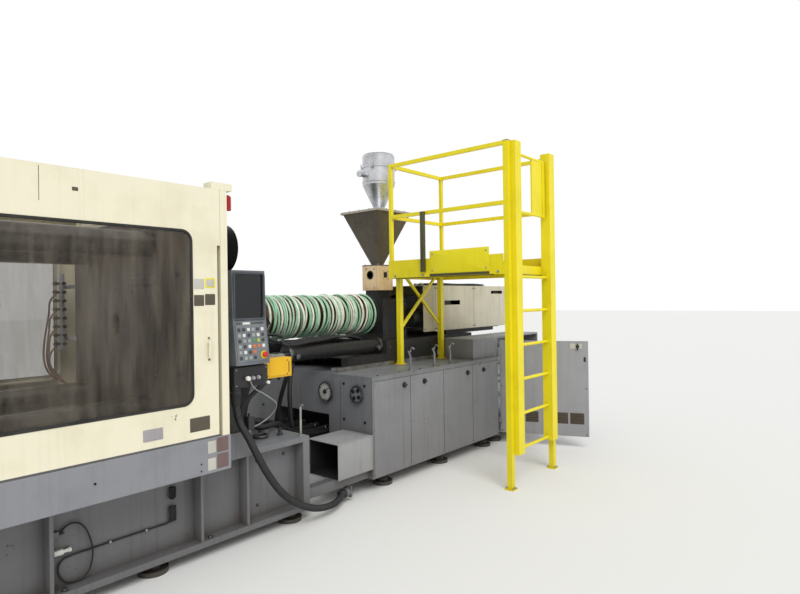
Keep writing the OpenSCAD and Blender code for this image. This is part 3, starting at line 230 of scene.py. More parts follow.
def lining(low, high, wall=0.001):
    """Thin box, open towards low X: rings of the outer wall and of the inner one, joined at the mouth, and
    closed by fans at the far end."""
    (x0, *low), (x1, *high) = low, high
    square = np.array([(-1, -1), (-1, 1), (1, 1), (1, -1)])
    mid, half = np.add(low, high) / 2, np.subtract(high, low) / 2
    rows = [(x1, 0.0), (x0, 0.0), (x0, wall), (x1 - wall, wall)]
    return surface(np.array([np.insert(mid + square * (half - inset), 0, x, axis=1) for x, inset in rows]))


def copies(shape, places):
    """The shape again at each offset."""
    points, faces = shape
    places = np.asarray(places, float).reshape(-1, 3)
    moved = (points[None] + places[:, None]).reshape(-1, 3)
    raised = faces[None] + (np.arange(len(places)) * len(points))[:, None, None]
    return moved, np.where(faces[None] < 0, -1, raised).reshape(-1, 4)


def turned_by(shape, angle, axis, at=(0, 0, 0)):
    """The shape turned by an angle about an axis through a point, by Rodrigues' formula."""
    points, faces = shape
    k, c, s = unit(axis), math.cos(angle), math.sin(angle)
    p = points - np.asarray(at)
    return p * c + np.cross(k, p) * s + np.outer(p @ k, k) * (1 - c) + np.asarray(at), faces


def faced(shape, axis):
    """A shape made along +Z, turned so that it points along the axis."""
    axis = unit(axis)
    if axis[2] > 0.9999:
        return shape
    return turned_by(shape, math.acos(axis[2]), X if axis[2] < -0.9999 else np.cross(Z, axis))


def across_y(shape):
    """The shape reflected in the machine's centre plane, its faces turned so that they point outwards."""
    points, faces = shape
    return points * np.array([1.0, -1.0, 1.0]), reversed_faces(faces)


def both_sides(*shapes):
    """Each shape together with its reflection in the machine's centre plane."""
    return merged(*[half for shape in shapes for half in (shape, across_y(shape))])


def row(start, step, count):
    """Places in a straight row: a start and whole numbers of steps."""
    return np.asarray(start, float) + np.arange(count)[:, None] * np.asarray(step, float)


def every(x, y, z):
    """Places at every one of the given X with every Y and every Z."""
    return np.stack(np.meshgrid(x, y, z, indexing="ij"), -1).reshape(-1, 3)


def bolt_circle(count, start, at, radius):
    """Places round the line along X through a point, the first at the start angle."""
    turn = angles(count, start)
    return np.asarray(at) + radius * np.stack([0 * turn, np.cos(turn), np.sin(turn)], -1)


# Rings of a bolt's head, as shares of its size: height, radius and whether the ring is six-sided
HEXAGON = [(0, 1.05, False), (0.14, 1.05, False), (0.14, 0.86, True), (0.60, 0.86, True), (0.70, 0.76, False)]
SOCKET = [(0, 0.75, False), (0.66, 0.75, False), (0.75, 0.66, False), (0.75, 0.50, True), (0.30, 0.48, True)]


def bolts(size, places, axis, rings=HEXAGON):
    """Bolt heads at the places: a hexagon with washer and chamfer, a skin over round and six-sided rings."""
    a = angles(12)
    six = np.cos(np.pi / 6) / np.cos((a + np.pi / 6) % (np.pi / 3) - np.pi / 6)
    height, radius, hexed = (np.array(column)[:, None] for column in zip(*rings))
    reach = radius * np.where(hexed, six, 1.0)
    head = size * np.stack([reach * np.cos(a), reach * np.sin(a), height + 0 * a], -1)
    return copies(faced(surface(head), axis), places)


def screws(size, places, axis=-Y):
    """Cap screws at the places: round chamfered heads with a six-sided socket sunk in them."""
    return bolts(size, places, axis, SOCKET)


def plate(at, width, height, facing=-Y, thick=0.0015, corner=0.004):
    """Thin plate with round corners: its back stands at the place and its face looks the given way."""
    across = Z if abs(facing[2]) < 0.5 else Y
    return pad(at, np.cross(across, facing), across, width, height, thick, corner, thick * 0.4)


def hoses(routes, radius, sides=12, step=0.02):
    """Hoses of one radius along the cubics through each route."""
    return merged(*[tube(smooth(route, step), radius, sides, up=(0.13, 0.31, 0.94)) for route in routes])


def ferrules(routes, radius, length=0.05):
    """Crimped hose ends with a hexagon: turned at both ends of each route, along its first and last steps."""
    rings = np.array([(0, 1.0), (0.10, 1.45), (0.34, 1.45), (0.36, 1.2), (0.86, 1.2), (0.9, 1.32), (1, 1.05)])
    made = []
    for route in routes:
        path = smooth(route, 0.02)
        for at, way in ((path[0], path[1] - path[0]), (path[-1], path[-2] - path[-1])):
            made.append(turned(rings * (length, radius), at, way, 12))
    return merged(*made)


def run_length(path):
    """Length along a path's points."""
    return float(np.linalg.norm(np.diff(path, axis=0), axis=1).sum())


def piece(name, shape, finish, body="frame", sharp=35):
    """One object from a shape: its mesh, finish and the body it rides on."""
    points, faces = shape
    data = bpy.data.meshes.new(name)
    sizes = np.where(faces[:, 3] < 0, 3, 4)
    loops = faces[faces >= 0]
    data.vertices.add(len(points))
    data.vertices.foreach_set("co", points.astype(np.float32).ravel())
    data.loops.add(len(loops))
    data.loops.foreach_set("vertex_index", loops.astype(np.int32))
    data.polygons.add(len(faces))
    data.polygons.foreach_set("loop_start", np.concatenate([[0], np.cumsum(sizes)[:-1]]).astype(np.int32))
    data.update(calc_edges=True)
    data.validate()
    data.shade_smooth()
    data.set_sharp_from_angle(angle=math.radians(sharp))
    data.materials.append(FINISHES[finish])
    made = bpy.data.objects.new(name, data)
    bpy.context.scene.collection.objects.link(made)
    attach(made, body)
    return made


# Finishes: a pattern's scale counts its features in a metre

FINISHES = {}


def put(tree, kind, inputs=(), stops=(), **settings):
    """Adds a node. Settings are its own. Inputs, by name or in order, are values, nodes whose first output is
    linked, or (node, output) pairs. Stops are a colour ramp's (position, hex) pairs."""
    node = tree.nodes.new("ShaderNode" + kind)
    for key, value in settings.items():
        setattr(node, key, value)
    for key, value in inputs.items() if isinstance(inputs, dict) else enumerate(inputs):
        source = (value, 0) if isinstance(value, bpy.types.Node) else value
        if isinstance(source, tuple) and isinstance(source[0], bpy.types.Node):
            tree.links.new(source[0].outputs[source[1]], node.inputs[key])
        else:
            node.inputs[key].default_value = value
    if stops:
        ramp = node.color_ramp.elements
        ramp.remove(ramp[-1])
        ramp[0].position, ramp[0].color = stops[0][0], linear(stops[0][1])
        for at, code in stops[1:]:
            ramp.new(at).color = linear(code)
    return node


def new_finish(name):
    """An empty material's tree, and its Object coordinates."""
    material = bpy.data.materials.new(name)
    material.use_nodes = True
    material.node_tree.nodes.clear()
    FINISHES[name] = material
    return material.node_tree, (put(material.node_tree, "TexCoord"), "Object")


def shaded(tree, inputs):
    """The material's shader from its inputs, joined to the output."""
    put(tree, "OutputMaterial", [put(tree, "BsdfPrincipled", inputs)])


def layer(tree, base, colour, source, low, high, amount):
    """A colour over a base: the source's span from low to high becomes a share from nothing to the amount."""
    share = put(tree, "MapRange", [source, low, high, 0.0, amount])
    return put(tree, "Mix", {0: share, 6: base, 7: linear(colour)}, data_type="RGBA"), 2


def painted_steel(name, colour, dark, streaks, chips, low_dirt=0.25, corner=0.5, rough=0.42, dirt="#4a4238",
                  bare="#5a5148"):
    """Sprayed alkyd or powder paint on sheet steel. The eye gets a soft sheen with orange peel, cloudy hand
    marks, thin runs of dust down upright faces, painted shade in corners and recesses, a darkening towards the
    floor, and chips to bare steel. The peel is drawn 3.5 mm wide, coarser than a real one, so that it shows."""
    tree, at = new_finish(name)
    cloud = put(tree, "TexNoise", {"Vector": at, "Scale": 2.6, "Detail": 5.0, "Roughness": 0.6})
    tone = put(tree, "ValToRGB", [cloud], [(0.30, dark), (0.52, colour)])
    stretch = put(tree, "Mapping", {"Vector": at, "Scale": (26.0, 26.0, 0.9)})
    run = put(tree, "TexNoise", {"Vector": stretch, "Scale": 1.0, "Detail": 4.0, "Roughness": 0.65})
    streaked = layer(tree, tone, dirt, run, 0.52, 0.78, streaks)
    # Painted shade: the paint goes towards the colour for dirt and shade where ambient occlusion finds
    # surfaces close by, in corners, creases and recesses, by the corner amount
    occlusion = put(tree, "AmbientOcclusion", {"Distance": 0.09}, samples=4)
    corner_shaded = layer(tree, streaked, dirt, (occlusion, 1), 0.85, 0.35, corner)
    # Darker towards the floor, broken up by the cloud, by the given amount
    height = put(tree, "SeparateXYZ", [at])
    spread = put(tree, "Math", [(height, 2), cloud], operation="SUBTRACT")
    lowered = layer(tree, corner_shaded, dirt, spread, 0.35, -0.45, low_dirt)
    pits = put(tree, "TexNoise", {"Vector": at, "Scale": 46.0, "Detail": 6.0, "Roughness": 0.62})
    patch = put(tree, "TexNoise", {"Vector": at, "Scale": 3.7, "Detail": 2.0})
    worn = put(tree, "Math", [pits, patch], operation="MULTIPLY")
    chip = put(tree, "MapRange", [worn, 0.47 - 0.10 * chips, 0.49 - 0.10 * chips, 0.0, 1.0])
    final = put(tree, "Mix", {0: chip, 6: lowered, 7: linear(bare)}, data_type="RGBA")
    sheen = put(tree, "MapRange", [cloud, 0.3, 0.7, rough + 0.12, rough - 0.06])
    orange = put(tree, "TexNoise", {"Vector": at, "Scale": 1 / 0.0035, "Detail": 1.0})
    relief = put(tree, "Math", [orange, chip], operation="SUBTRACT")
    bump = put(tree, "Bump", {"Strength": 0.10, "Distance": 0.0012, "Height": relief})
    shaded(tree, {"Base Color": (final, 2), "Roughness": sheen, "Normal": bump, "Specular IOR Level": 0.42})


def oily_iron(name, colour, dark):
    """Cast iron under thin old paint, with oil. The eye gets a sandy skin, dark oil blooms and brown rust
    tints. The sand is drawn about 4 mm wide, coarser than real sand, so that it shows."""
    tree, at = new_finish(name)
    bloom = put(tree, "TexNoise", {"Vector": at, "Scale": 5.0, "Detail": 6.0, "Roughness": 0.66})
    sand = put(tree, "TexNoise", {"Vector": at, "Scale": 260.0, "Detail": 3.0})
    tint = put(tree, "TexNoise", {"Vector": at, "Scale": 1.6, "Detail": 3.0})
    stretch = put(tree, "Mapping", {"Vector": at, "Scale": (18.0, 18.0, 1.1)})
    run = put(tree, "TexNoise", {"Vector": stretch, "Scale": 1.0, "Detail": 5.0, "Roughness": 0.7})
    base = put(tree, "ValToRGB", [bloom], [(0.30, dark), (0.46, colour), (0.75, colour)])
    rusty = layer(tree, base, "#4d3423", tint, 0.5, 0.75, 0.55)
    oiled = layer(tree, rusty, dark, run, 0.5, 0.8, 0.6)
    sheen = put(tree, "MapRange", [bloom, 0.3, 0.7, 0.35, 0.62])
    bump = put(tree, "Bump", {"Strength": 0.16, "Distance": 0.0010, "Height": sand})
    shaded(tree, {"Base Color": oiled, "Roughness": sheen, "Normal": bump})


def bare_steel(name, colour, dark, rough, line=(1.0, 1.0, 60.0), metal=1.0, black_from=None):
    """Ground, turned or brushed steel. The eye gets fine lines along the tool's path and faint oil smears.
    Beyond the X of black_from the steel is left blackened, as on the tie bars' nuts."""
    tree, at = new_finish(name)
    stretch = put(tree, "Mapping", {"Vector": at, "Scale": tuple(10 * s for s in line)})
    grain = put(tree, "TexNoise", {"Vector": stretch, "Scale": 6.0, "Detail": 6.0, "Roughness": 0.7})
    smear = put(tree, "TexNoise", {"Vector": at, "Scale": 7.0, "Detail": 5.0, "Roughness": 0.62})
    tone = put(tree, "ValToRGB", [smear], [(0.32, dark), (0.58, colour)])
    sheen = put(tree, "MapRange", [grain, 0.3, 0.7, rough - 0.08, rough + 0.14])
    bump = put(tree, "Bump", {"Strength": 0.12, "Distance": 0.0006, "Height": grain})
    final = tone
    if black_from is not None:
        spot = put(tree, "SeparateXYZ", [at])
        beyond = put(tree, "Math", [spot, black_from], operation="GREATER_THAN")
        final = (put(tree, "Mix", {0: beyond, 6: tone, 7: linear("#17181a")}, data_type="RGBA"), 2)
    shaded(tree, {"Base Color": final, "Metallic": metal, "Roughness": sheen, "Normal": bump})


def plastic(name, colour, dark, rough, grain=0.0012, relief=0.15):
    """Moulded ABS, polyamide or rubber. The eye gets an even skin with spark grain and a slight shine."""
    tree, at = new_finish(name)
    wear = put(tree, "TexNoise", {"Vector": at, "Scale": 9.0, "Detail": 4.0, "Roughness": 0.6})
    tone = put(tree, "ValToRGB", [wear], [(0.30, dark), (0.60, colour)])
    skin = put(tree, "TexNoise", {"Vector": at, "Scale": 1 / grain, "Detail": 1.0})
    sheen = put(tree, "MapRange", [wear, 0.3, 0.7, rough + 0.1, rough - 0.08])
    bump = put(tree, "Bump", {"Strength": relief, "Distance": 0.0004, "Height": skin})
    shaded(tree, {"Base Color": tone, "Roughness": sheen, "Normal": bump})


def wound_hose(name):
    """Soft PVC hose wound round the barrel. The eye gets a shade of its own on each turn, from cream to deep
    green, with a waxy shine; the mesh's shade attribute picks the colour."""
    tree, at = new_finish(name)
    shade = put(tree, "Attribute", attribute_name="shade")
    grime = put(tree, "TexNoise", {"Vector": at, "Scale": 14.0, "Detail": 4.0})
    tone = put(tree, "ValToRGB", [(shade, 2)], [(0.0, "#f3f1e2"), (0.20, "#e6ecd9"), (0.35, "#bfe0c6"),
                                                (0.60, "#93c7a3"), (0.85, "#568a68"), (1.0, "#47795c")])
    shaded(tree, {"Base Color": layer(tree, tone, "#6f6a58", grime, 0.45, 0.75, 0.35), "Roughness": 0.32})


def clear_sheet(name, colour, haze, alpha):
    """Old clear polycarbonate sheet. The eye gets a brown-grey tint, wiped haze and a glossy reflection. A
    dark tint also stands as painted shade over what lies behind the sheet.
    """
    tree, at = new_finish(name)
    stretch = put(tree, "Mapping", {"Vector": at, "Scale": (9.0, 9.0, 1.2)})
    wipe = put(tree, "TexNoise", {"Vector": stretch, "Scale": 1.3, "Detail": 6.0, "Roughness": 0.7})
    tone = put(tree, "ValToRGB", [wipe], [(0.35, colour), (0.72, haze)])
    cover = put(tree, "MapRange", [wipe, 0.35, 0.75, alpha, alpha + 0.14])
    shaded(tree, {"Base Color": tone, "Roughness": 0.08, "Alpha": cover})
    FINISHES[name].use_transparent_shadow = True


# Colour, darker tone, streaks and chips of the paints, then what differs from the usual; corner is the
# strength of the painted shade in corners and recesses
PAINTS = {
    "guard_paint": ("#f4eed4", "#e9e2c6", 0.10, 0.05, {"corner": 0.35, "low_dirt": 0.0, "dirt": "#8a8064"}),
    "rail_paint": ("#8f9095", "#84858a", 0.15, 0.25, {"corner": 0.35, "low_dirt": 0.0}),
    "bed_paint": ("#7f8185", "#727478", 0.35, 0.5, {"low_dirt": 0.45, "corner": 0.65}),
    "panel_paint": ("#8b8c91", "#7f8084", 0.30, 0.35, {"low_dirt": 0.35}),
    "door_paint": ("#a2a3a8", "#96979c", 0.2, 0.2, {"low_dirt": 0.2}),
    "safety_paint": ("#f6e51b", "#eada12", 0.14, 0.6, {"corner": 0.35, "low_dirt": 0.15, "bare": "#6b5a1e",
                                                       "dirt": "#8a7010", "rough": 0.36}),
    "step_paint": ("#b4b5b7", "#9fa0a2", 0.3, 0.8, {"low_dirt": 0.5}),
    "throat_paint": ("#efd2a6", "#d9b98b", 0.25, 0.3, {"dirt": "#8a6a42", "low_dirt": 0.0}),
    "hopper_paint": ("#5f584c", "#4d473d", 0.25, 0.1, {"dirt": "#8c8474", "low_dirt": 0.0, "rough": 0.6}),
    "cover_paint": ("#d3cdb8", "#c4bda6", 0.35, 0.25, {"dirt": "#857d68", "low_dirt": 0.0}),
    "sled_paint": ("#1c1d1f", "#131416", 0.3, 0.4, {"dirt": "#4a443c", "low_dirt": 0.0, "rough": 0.5}),
    "terminal_paint": ("#f0bc1d", "#d9a512", 0.2, 0.2, {"dirt": "#7a5a18", "low_dirt": 0.0}),
    "tank_paint": ("#74777b", "#66696d", 0.4, 0.4, {"low_dirt": 0.4}),
    "arm_paint": ("#2a2b2e", "#1e1f21", 0.2, 0.3, {"dirt": "#4a443c", "low_dirt": 0.0}),
    "foot_paint": ("#3f4042", "#303133", 0.2, 0.5, {"low_dirt": 0.6}),
    "sign_yellow": ("#f6e81f", "#ecdc16", 0.1, 0.1, {"low_dirt": 0.0, "rough": 0.45, "dirt": "#8a7010"}),
    "dial_face": ("#bdbcb5", "#aaa9a2", 0.05, 0.0, {"low_dirt": 0.0, "rough": 0.3}),
}
# The same of thin plates and the hopper's edge, all matt and not darker towards the floor
PLATES = {
    "plate_blank": ("#c9c7bd", "#b8b6ab", 0.1, 0.1), "plate_brown": ("#5b5346", "#4c453a", 0.1, 0.1),
    "plate_umber": ("#4a3f35", "#3c332b", 0.3, 0.1), "olive_plate_and_shadow": ("#4c4a2c", "#3d3b22", 0.2, 0.2),
    "plate_lilac": ("#aca7ab", "#9b969b", 0.1, 0.1), "plate_rose": ("#75605d", "#665351", 0.1, 0.1),
    "hopper_edge": ("#b3aa98", "#9c9482", 0.2, 0.1),
}
# Colour, darker tone and roughness of the steels, then the stretch of their lines and what else differs
STEELS = {
    "tie_bar_steel": ("#77746d", "#45413a", 0.34, {"line": (1.0, 40.0, 40.0), "black_from": 0.445}),
    "rod_steel": ("#a9abad", "#77756f", 0.22, {"line": (1.0, 40.0, 40.0)}),
    "ground_steel": ("#9fa0a0", "#6f6c66", 0.35, {"line": (1.0, 40.0, 40.0)}),
    "bolt_steel": ("#6b6c6e", "#46464a", 0.42, {}),
    "nut_steel": ("#2c2d30", "#1c1c1f", 0.5, {"metal": 0.7}),
    "heat_steel": ("#8a6d52", "#4f4238", 0.42, {"line": (40.0, 1.0, 1.0)}),
    "loader_steel": ("#c9cbce", "#a5a6a8", 0.3, {"line": (1.0, 1.0, 30.0)}),
    "zinc_steel": ("#b9bab6", "#8f8f8a", 0.45, {}),
}
# Colour, darker tone and roughness of the plastics, rubbers and glass, and the width and relief of a grain
PLASTICS = {
    "hose_plastic": ("#202123", "#151617", 0.5), "cable_rubber": ("#1c1d1e", "#121213", 0.6),
    "seal_rubber": ("#2b2a27", "#1b1a18", 0.65), "grey_cable": ("#9a9c9d", "#7f8182", 0.5),
    "control_abs": ("#6e7379", "#60656b", 0.5), "bezel_abs": ("#4a4f57", "#3f444b", 0.4),
    "screen_glass": ("#0e1116", "#0a0c10", 0.24, 0.0012, 0.02), "key_plate": ("#7b8084", "#6f7478", 0.5),
    "key_lime": ("#b7c94a", "#9fb23c", 0.45), "key_dark": ("#3b3f45", "#30343a", 0.5),
    "key_green": ("#4e9a63", "#3f8552", 0.45), "key_orange": ("#d9743a", "#c2622c", 0.45),
    "key_white": ("#e8e8e2", "#d8d8d2", 0.45), "key_pale": ("#a9adab", "#999d9b", 0.5),
    "stop_red": ("#d0261c", "#b81e16", 0.3), "beacon_red": ("#c21a16", "#a01210", 0.2),
    "contactor_grey": ("#b9babb", "#a5a6a8", 0.5), "latch_black": ("#2a2b2c", "#1f2021", 0.45),
    "hose_green": ("#9fd0ae", "#7fb892", 0.3, 0.004), "hose_brown": ("#9a6f5c", "#7d5848", 0.45),
    # Near-black finish of the bed's plug boxes, also used as the painted shade inside the step box
    "black_and_shade": ("#17181a", "#101112", 0.8),
}


def make_finishes():
    """All finishes of the machine."""
    for name, (*tones, differing) in PAINTS.items():
        painted_steel(name, *tones, **differing)
    for name, tones in PLATES.items():
        painted_steel(name, *tones, low_dirt=0.0, rough=0.5)
    oily_iron("platen_iron", "#54483a", "#2b241d")
    oily_iron("cylinder_iron", "#585b5f", "#3c3e41")
    for name, (*tones, differing) in STEELS.items():
        bare_steel(name, *tones, **differing)
    for name, tones in PLASTICS.items():
        plastic(name, *tones)
    wound_hose("hose_wound")
    # The operator's window: its dark brown tint is partly the sheet's own and partly painted shade of the
    # space inside the guard
    clear_sheet("window_sheet_and_shade", "#2c251e", "#7a7264", 0.30)
    clear_sheet("rear_sheet", "#b4b5ae", "#cfcfc8", 0.16)


CAD_FINISH = {
    "guard_paint": ["guard_frame", "fixed_guards", "operator_door", "rear_door"],
    "rail_paint": ["guard_rail"],
    "bed_paint": ["clamp_base", "injection_base"],
    "panel_paint": ["side_panels", "power_cabinet"],
    "door_paint": ["cabinet_door"],
    "safety_paint": ["platform_frame", "platform_deck", "guardrails", "ladder", "swing_gate"],
    "step_paint": ["step_box"],
    "throat_paint": ["throat_block"],
    "hopper_paint": ["hopper"],
    "cover_paint": ["injection_cover"],
    "sled_paint": ["carriage", "feed_housing", "traverse_cylinders", "injection_housing", "crosshead"],
    "terminal_paint": ["terminal_box"],
    "tank_paint": ["hydraulic_tank"],
    "arm_paint": ["panel_arm"],
    "foot_paint": ["levelling_feet"],
    "platen_iron": ["stationary_platen", "moving_platen", "rear_platen"],
    "cylinder_iron": ["clamp_cylinder"],
    "tie_bar_steel": ["tie_bars"],
    "rod_steel": ["traverse_rods", "clamp_ram"],
    "ground_steel": ["machine_ways", "ejector", "screw", "slide_gate"],
    "heat_steel": ["barrel", "heater_bands", "nozzle"],
    "loader_steel": ["loader", "hopper_lid"],
    "hose_plastic": ["control_hose"],
    "cable_rubber": ["sensor_cable"],
    "control_abs": ["control_housing"],
    "screen_glass": ["control_screen"],
    "key_plate": ["keypad"],
    "stop_red": ["emergency_stop"],
    "beacon_red": ["alarm_beacon"],
    "contactor_grey": ["cabinet_backplate"],
    "latch_black": ["cabinet_latch", "panel_latch_1", "panel_latch_2", "panel_latch_3", "panel_latch_4"],
    "hose_green": ["barrel_windings"],
    "window_sheet_and_shade": ["operator_window"],
    "rear_sheet": ["rear_window"],
}
# Radius in metres of rounded edges, and the solids that have them
ROUNDED = {
    0.004: ["operator_door", "rear_door", "side_panels", "step_box", "cabinet_door", "terminal_box",
            "guard_frame", "panel_arm", "injection_cover", "power_cabinet", "throat_block"],
    0.008: ["control_housing", "stationary_platen", "moving_platen", "feed_housing"],
    0.005: ["guard_rail", "guardrails", "swing_gate"],
}


class StageSettings(bpy.types.PropertyGroup):
    """Sizes and colours of the floor and the light."""

    floor: FloatVectorProperty(name="Floor", description="Colour of the floor", subtype="COLOR", size=4,
                               default=linear("#f2f2f0"), min=0, max=1)
    reach: FloatProperty(name="Reach", description="Half the width of the floor", default=60.0, unit="LENGTH")
    sky: FloatProperty(name="Sky", description="Strength of the even light", default=0.62, min=0)
    sun: FloatProperty(name="Sun", description="Strength of the soft main light", default=1.5, min=0)
    softness: FloatProperty(name="Softness", description="Angle that the main light fills", subtype="ANGLE",
                            default=math.radians(35))


class CordSettings(bpy.types.PropertyGroup):
    """Sizes of the cords."""

    hose: FloatProperty(name="Hose", description="Outer diameter of the control hose", default=0.052,
                        unit="LENGTH")
    pitch: FloatProperty(name="Pitch", description="Distance between the hose's corrugations", default=0.012,
                         unit="LENGTH")
    cable: FloatProperty(name="Cable", description="Diameter of the sensor cable", default=0.009,
                         unit="LENGTH")


class FittingSettings(bpy.types.PropertyGroup):
    """Sizes of the small fittings."""

    bolt: FloatProperty(name="Bolt", description="Radius of a common bolt's head", default=0.012,
                        unit="LENGTH")
    screw: FloatProperty(name="Screw", description="Radius of a cover screw's head", default=0.008,
                         unit="LENGTH")
    seal: FloatProperty(name="Seal", description="Width of the window seal", default=0.022, unit="LENGTH")
    turns: IntProperty(name="Turns", description="Turns of hose round the barrel", default=44, min=2)


class MACHINE_OT_stage(bpy.types.Operator):
    """Floor, light and the camera at the photograph's place"""

    bl_idname = "machine.stage"
    bl_label = "Stage and camera"

    def execute(self, context):
        scene = context.scene
        stage = scene.machine_stage
        half = stage.reach
        data = bpy.data.meshes.new("floor")
        data.from_pydata([(-half, -half, 0), (half, -half, 0), (half, half, 0), (-half, half, 0)], [],
                         [(0, 1, 2, 3)])
        floor = bpy.data.objects.new("floor", data)
        scene.collection.objects.link(floor)
        material = bpy.data.materials.new("pale_floor")
        material.use_nodes = True
        shader = material.node_tree.nodes["Principled BSDF"]
        shader.inputs["Base Color"].default_value = stage.floor
        shader.inputs["Roughness"].default_value = 0.9
        data.materials.append(material)

        world = bpy.data.worlds.new("soft_sky")
        world.use_nodes = True
        tree = world.node_tree
        tree.nodes.clear()
        path = put(tree, "LightPath")
        seen = put(tree, "Math", [(path, "Is Camera Ray"), (path, "Is Glossy Ray")], operation="MAXIMUM")
        seen = put(tree, "Math", [seen, (path, "Is Transmission Ray")], operation="MAXIMUM")
        even = put(tree, "Background", [(1.0, 1.0, 1.0, 1.0), stage.sky])
        white = put(tree, "Background", [(1.0, 1.0, 1.0, 1.0), 1.0])
        put(tree, "OutputWorld", [put(tree, "MixShader", [seen, even, white])])
        scene.world = world

        lamp = bpy.data.lights.new("soft_sun", "SUN")
        lamp.energy, lamp.angle = stage.sun, stage.softness
        sun = bpy.data.objects.new("soft_sun", lamp)
        sun.rotation_mode = "QUATERNION"
        sun.rotation_quaternion = Vector((0.42, 0.62, -0.80)).to_track_quat("-Z", "Y")
        scene.collection.objects.link(sun)

        yaw, pitch, roll = np.radians(CAMERA_YAW_PITCH_ROLL)
        ahead = np.array([math.cos(yaw) * math.cos(pitch), math.sin(yaw) * math.cos(pitch), math.sin(pitch)])
        level = np.array([math.sin(yaw), -math.cos(yaw), 0.0])
        below = np.cross(ahead, level)
        right = math.cos(roll) * level + math.sin(roll) * below
        down = -math.sin(roll) * level + math.cos(roll) * below
        lens = bpy.data.cameras.new("photo_camera")
        lens.sensor_width, lens.lens = 36.0, FOCAL_PX / PHOTO_WIDTH_PX * 36
        lens.clip_start, lens.clip_end = 0.05, 300
        camera = bpy.data.objects.new("photo_camera", lens)
        turn = np.stack([right, -down, -ahead, CAMERA_AT], -1)
        camera.matrix_world = Matrix([*turn.tolist(), [0, 0, 0, 1]])
        scene.collection.objects.link(camera)
        scene.camera = camera
        scene.view_settings.view_transform = "Standard"
        return {"FINISHED"}


class MACHINE_OT_finishes(bpy.types.Operator):
    """Finishes of the solids, with their sheared and cast edges rounded"""

    bl_idname = "machine.finishes"
    bl_label = "Finishes"

    def execute(self, context):
        make_finishes()
        for finish, names in CAD_FINISH.items():
            for name in names:
                data = NODES[name].data
                data.materials.clear()
                data.materials.append(FINISHES[finish])
        for width, names in ROUNDED.items():
            for name in names:
                weld = NODES[name].modifiers.new("weld", "WELD")
                weld.merge_threshold = 0.0001
                bevel = NODES[name].modifiers.new("bevel", "BEVEL")
                bevel.width, bevel.segments = width, 2
                bevel.limit_method, bevel.angle_limit = "ANGLE", math.radians(50)
                bevel.use_clamp_overlap = True
                bevel.harden_normals = False
        return {"FINISHED"}


HOSE_ROUTE = [
    (0.335, -1.030, 1.060), (0.335, -1.031, 1.000), (0.340, -1.036, 0.930), (0.362, -1.043, 0.850),
    (0.412, -1.050, 0.760), (0.465, -1.052, 0.655), (0.525, -1.052, 0.545), (0.610, -1.052, 0.410),
    (0.700, -1.050, 0.300), (0.800, -1.050, 0.215), (0.905, -1.048, 0.150), (1.020, -1.042, 0.105),
    (1.140, -1.026, 0.080), (1.250, -0.994, 0.070), (1.340, -0.950, 0.071), (1.400, -0.915, 0.075),
    (1.440, -0.902, 0.078),
]
CABLE_ROUTE = [
    (-0.032, -0.858, 0.311), (-0.036, -0.859, 0.294), (-0.060, -0.860, 0.283), (-0.110, -0.860, 0.281),
    (-0.200, -0.860, 0.281), (-0.300, -0.860, 0.280), (-0.415, -0.860, 0.279), (-0.530, -0.860, 0.277),
    (-0.620, -0.860, 0.275), (-0.668, -0.860, 0.266), (-0.690, -0.861, 0.240), (-0.692, -0.862, 0.205),
    (-0.680, -0.864, 0.168), (-0.652, -0.868, 0.138), (-0.613, -0.872, 0.127), (-0.572, -0.874, 0.133),
    (-0.543, -0.875, 0.160), (-0.522, -0.875, 0.215), (-0.518, -0.875, 0.285), (-0.532, -0.875, 0.350),
    (-0.556, -0.875, 0.410), (-0.590, -0.874, 0.448), (-0.625, -0.870, 0.456), (-0.655, -0.866, 0.444),
    (-0.676, -0.863, 0.424), (-0.690, -0.862, 0.412),
]


class MACHINE_OT_cords(bpy.types.Operator):
    """Corrugated control hose and the thin sensor cable, with their strain reliefs"""

    bl_idname = "machine.cords"
    bl_label = "Cords"

    def execute(self, context):
        cords = context.scene.machine_cords
        radius = cords.hose / 2
        path = smooth(HOSE_ROUTE, cords.pitch / 6)
        along = np.linspace(0, run_length(path), len(path))
        groove = 0.0032
        wave = radius - groove / 2 * (1 - np.cos(2 * np.pi * along / cords.pitch))
        ribbed = tube(path, wave, 24, up=Y)
        hose = piece("control_hose_ribbed", ribbed, "hose_plastic", sharp=60)
        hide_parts("control_hose")
        # Boot and two collars at the arm, boot at the base
        top, end = path[0], path[-1]
        collar = [(0, 0), (0, 0.0375), (0.006, 0.0385), (0.012, 0.0375), (0.012, 0)]
        boots = merged(
            turned([(0, 0.0375), (0.018, 0.0375), (0.022, 0.034), (0.075, 0.0292), (0.08, 0.0275)], top, -Z),
            *[turned(collar, top + lift * Z) for lift in (0.020, 0.038)],
            turned([(0, 0.0375), (0.016, 0.0375), (0.02, 0.034), (0.055, 0.0292), (0.06, 0.0275)], end, -X))
        boot = piece("control_hose_boots", boots, "cable_rubber")

        # Cable with a stepped relief at both ends
        path = smooth(CABLE_ROUTE, 0.004)
        thin = tube(path, cords.cable / 2, 12, up=Y)
        cable = piece("sensor_cable_lead", thin, "cable_rubber", sharp=60)
        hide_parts("sensor_cable")
        rings = [(0, 0.0075), (0.006, 0.0075), (0.0065, 0.0065), (0.010, 0.0065), (0.0105, 0.0072),
                 (0.016, 0.0068), (0.0165, 0.006), (0.020, 0.006), (0.0205, 0.0064), (0.026, 0.0056),
                 (0.03, 0.0048)]
        relief = merged(turned(rings, path[0], -Z, 16), turned(rings, path[-1], X, 16))
        plug = piece("sensor_cable_relief", relief, "latch_black")
        return {"FINISHED"}


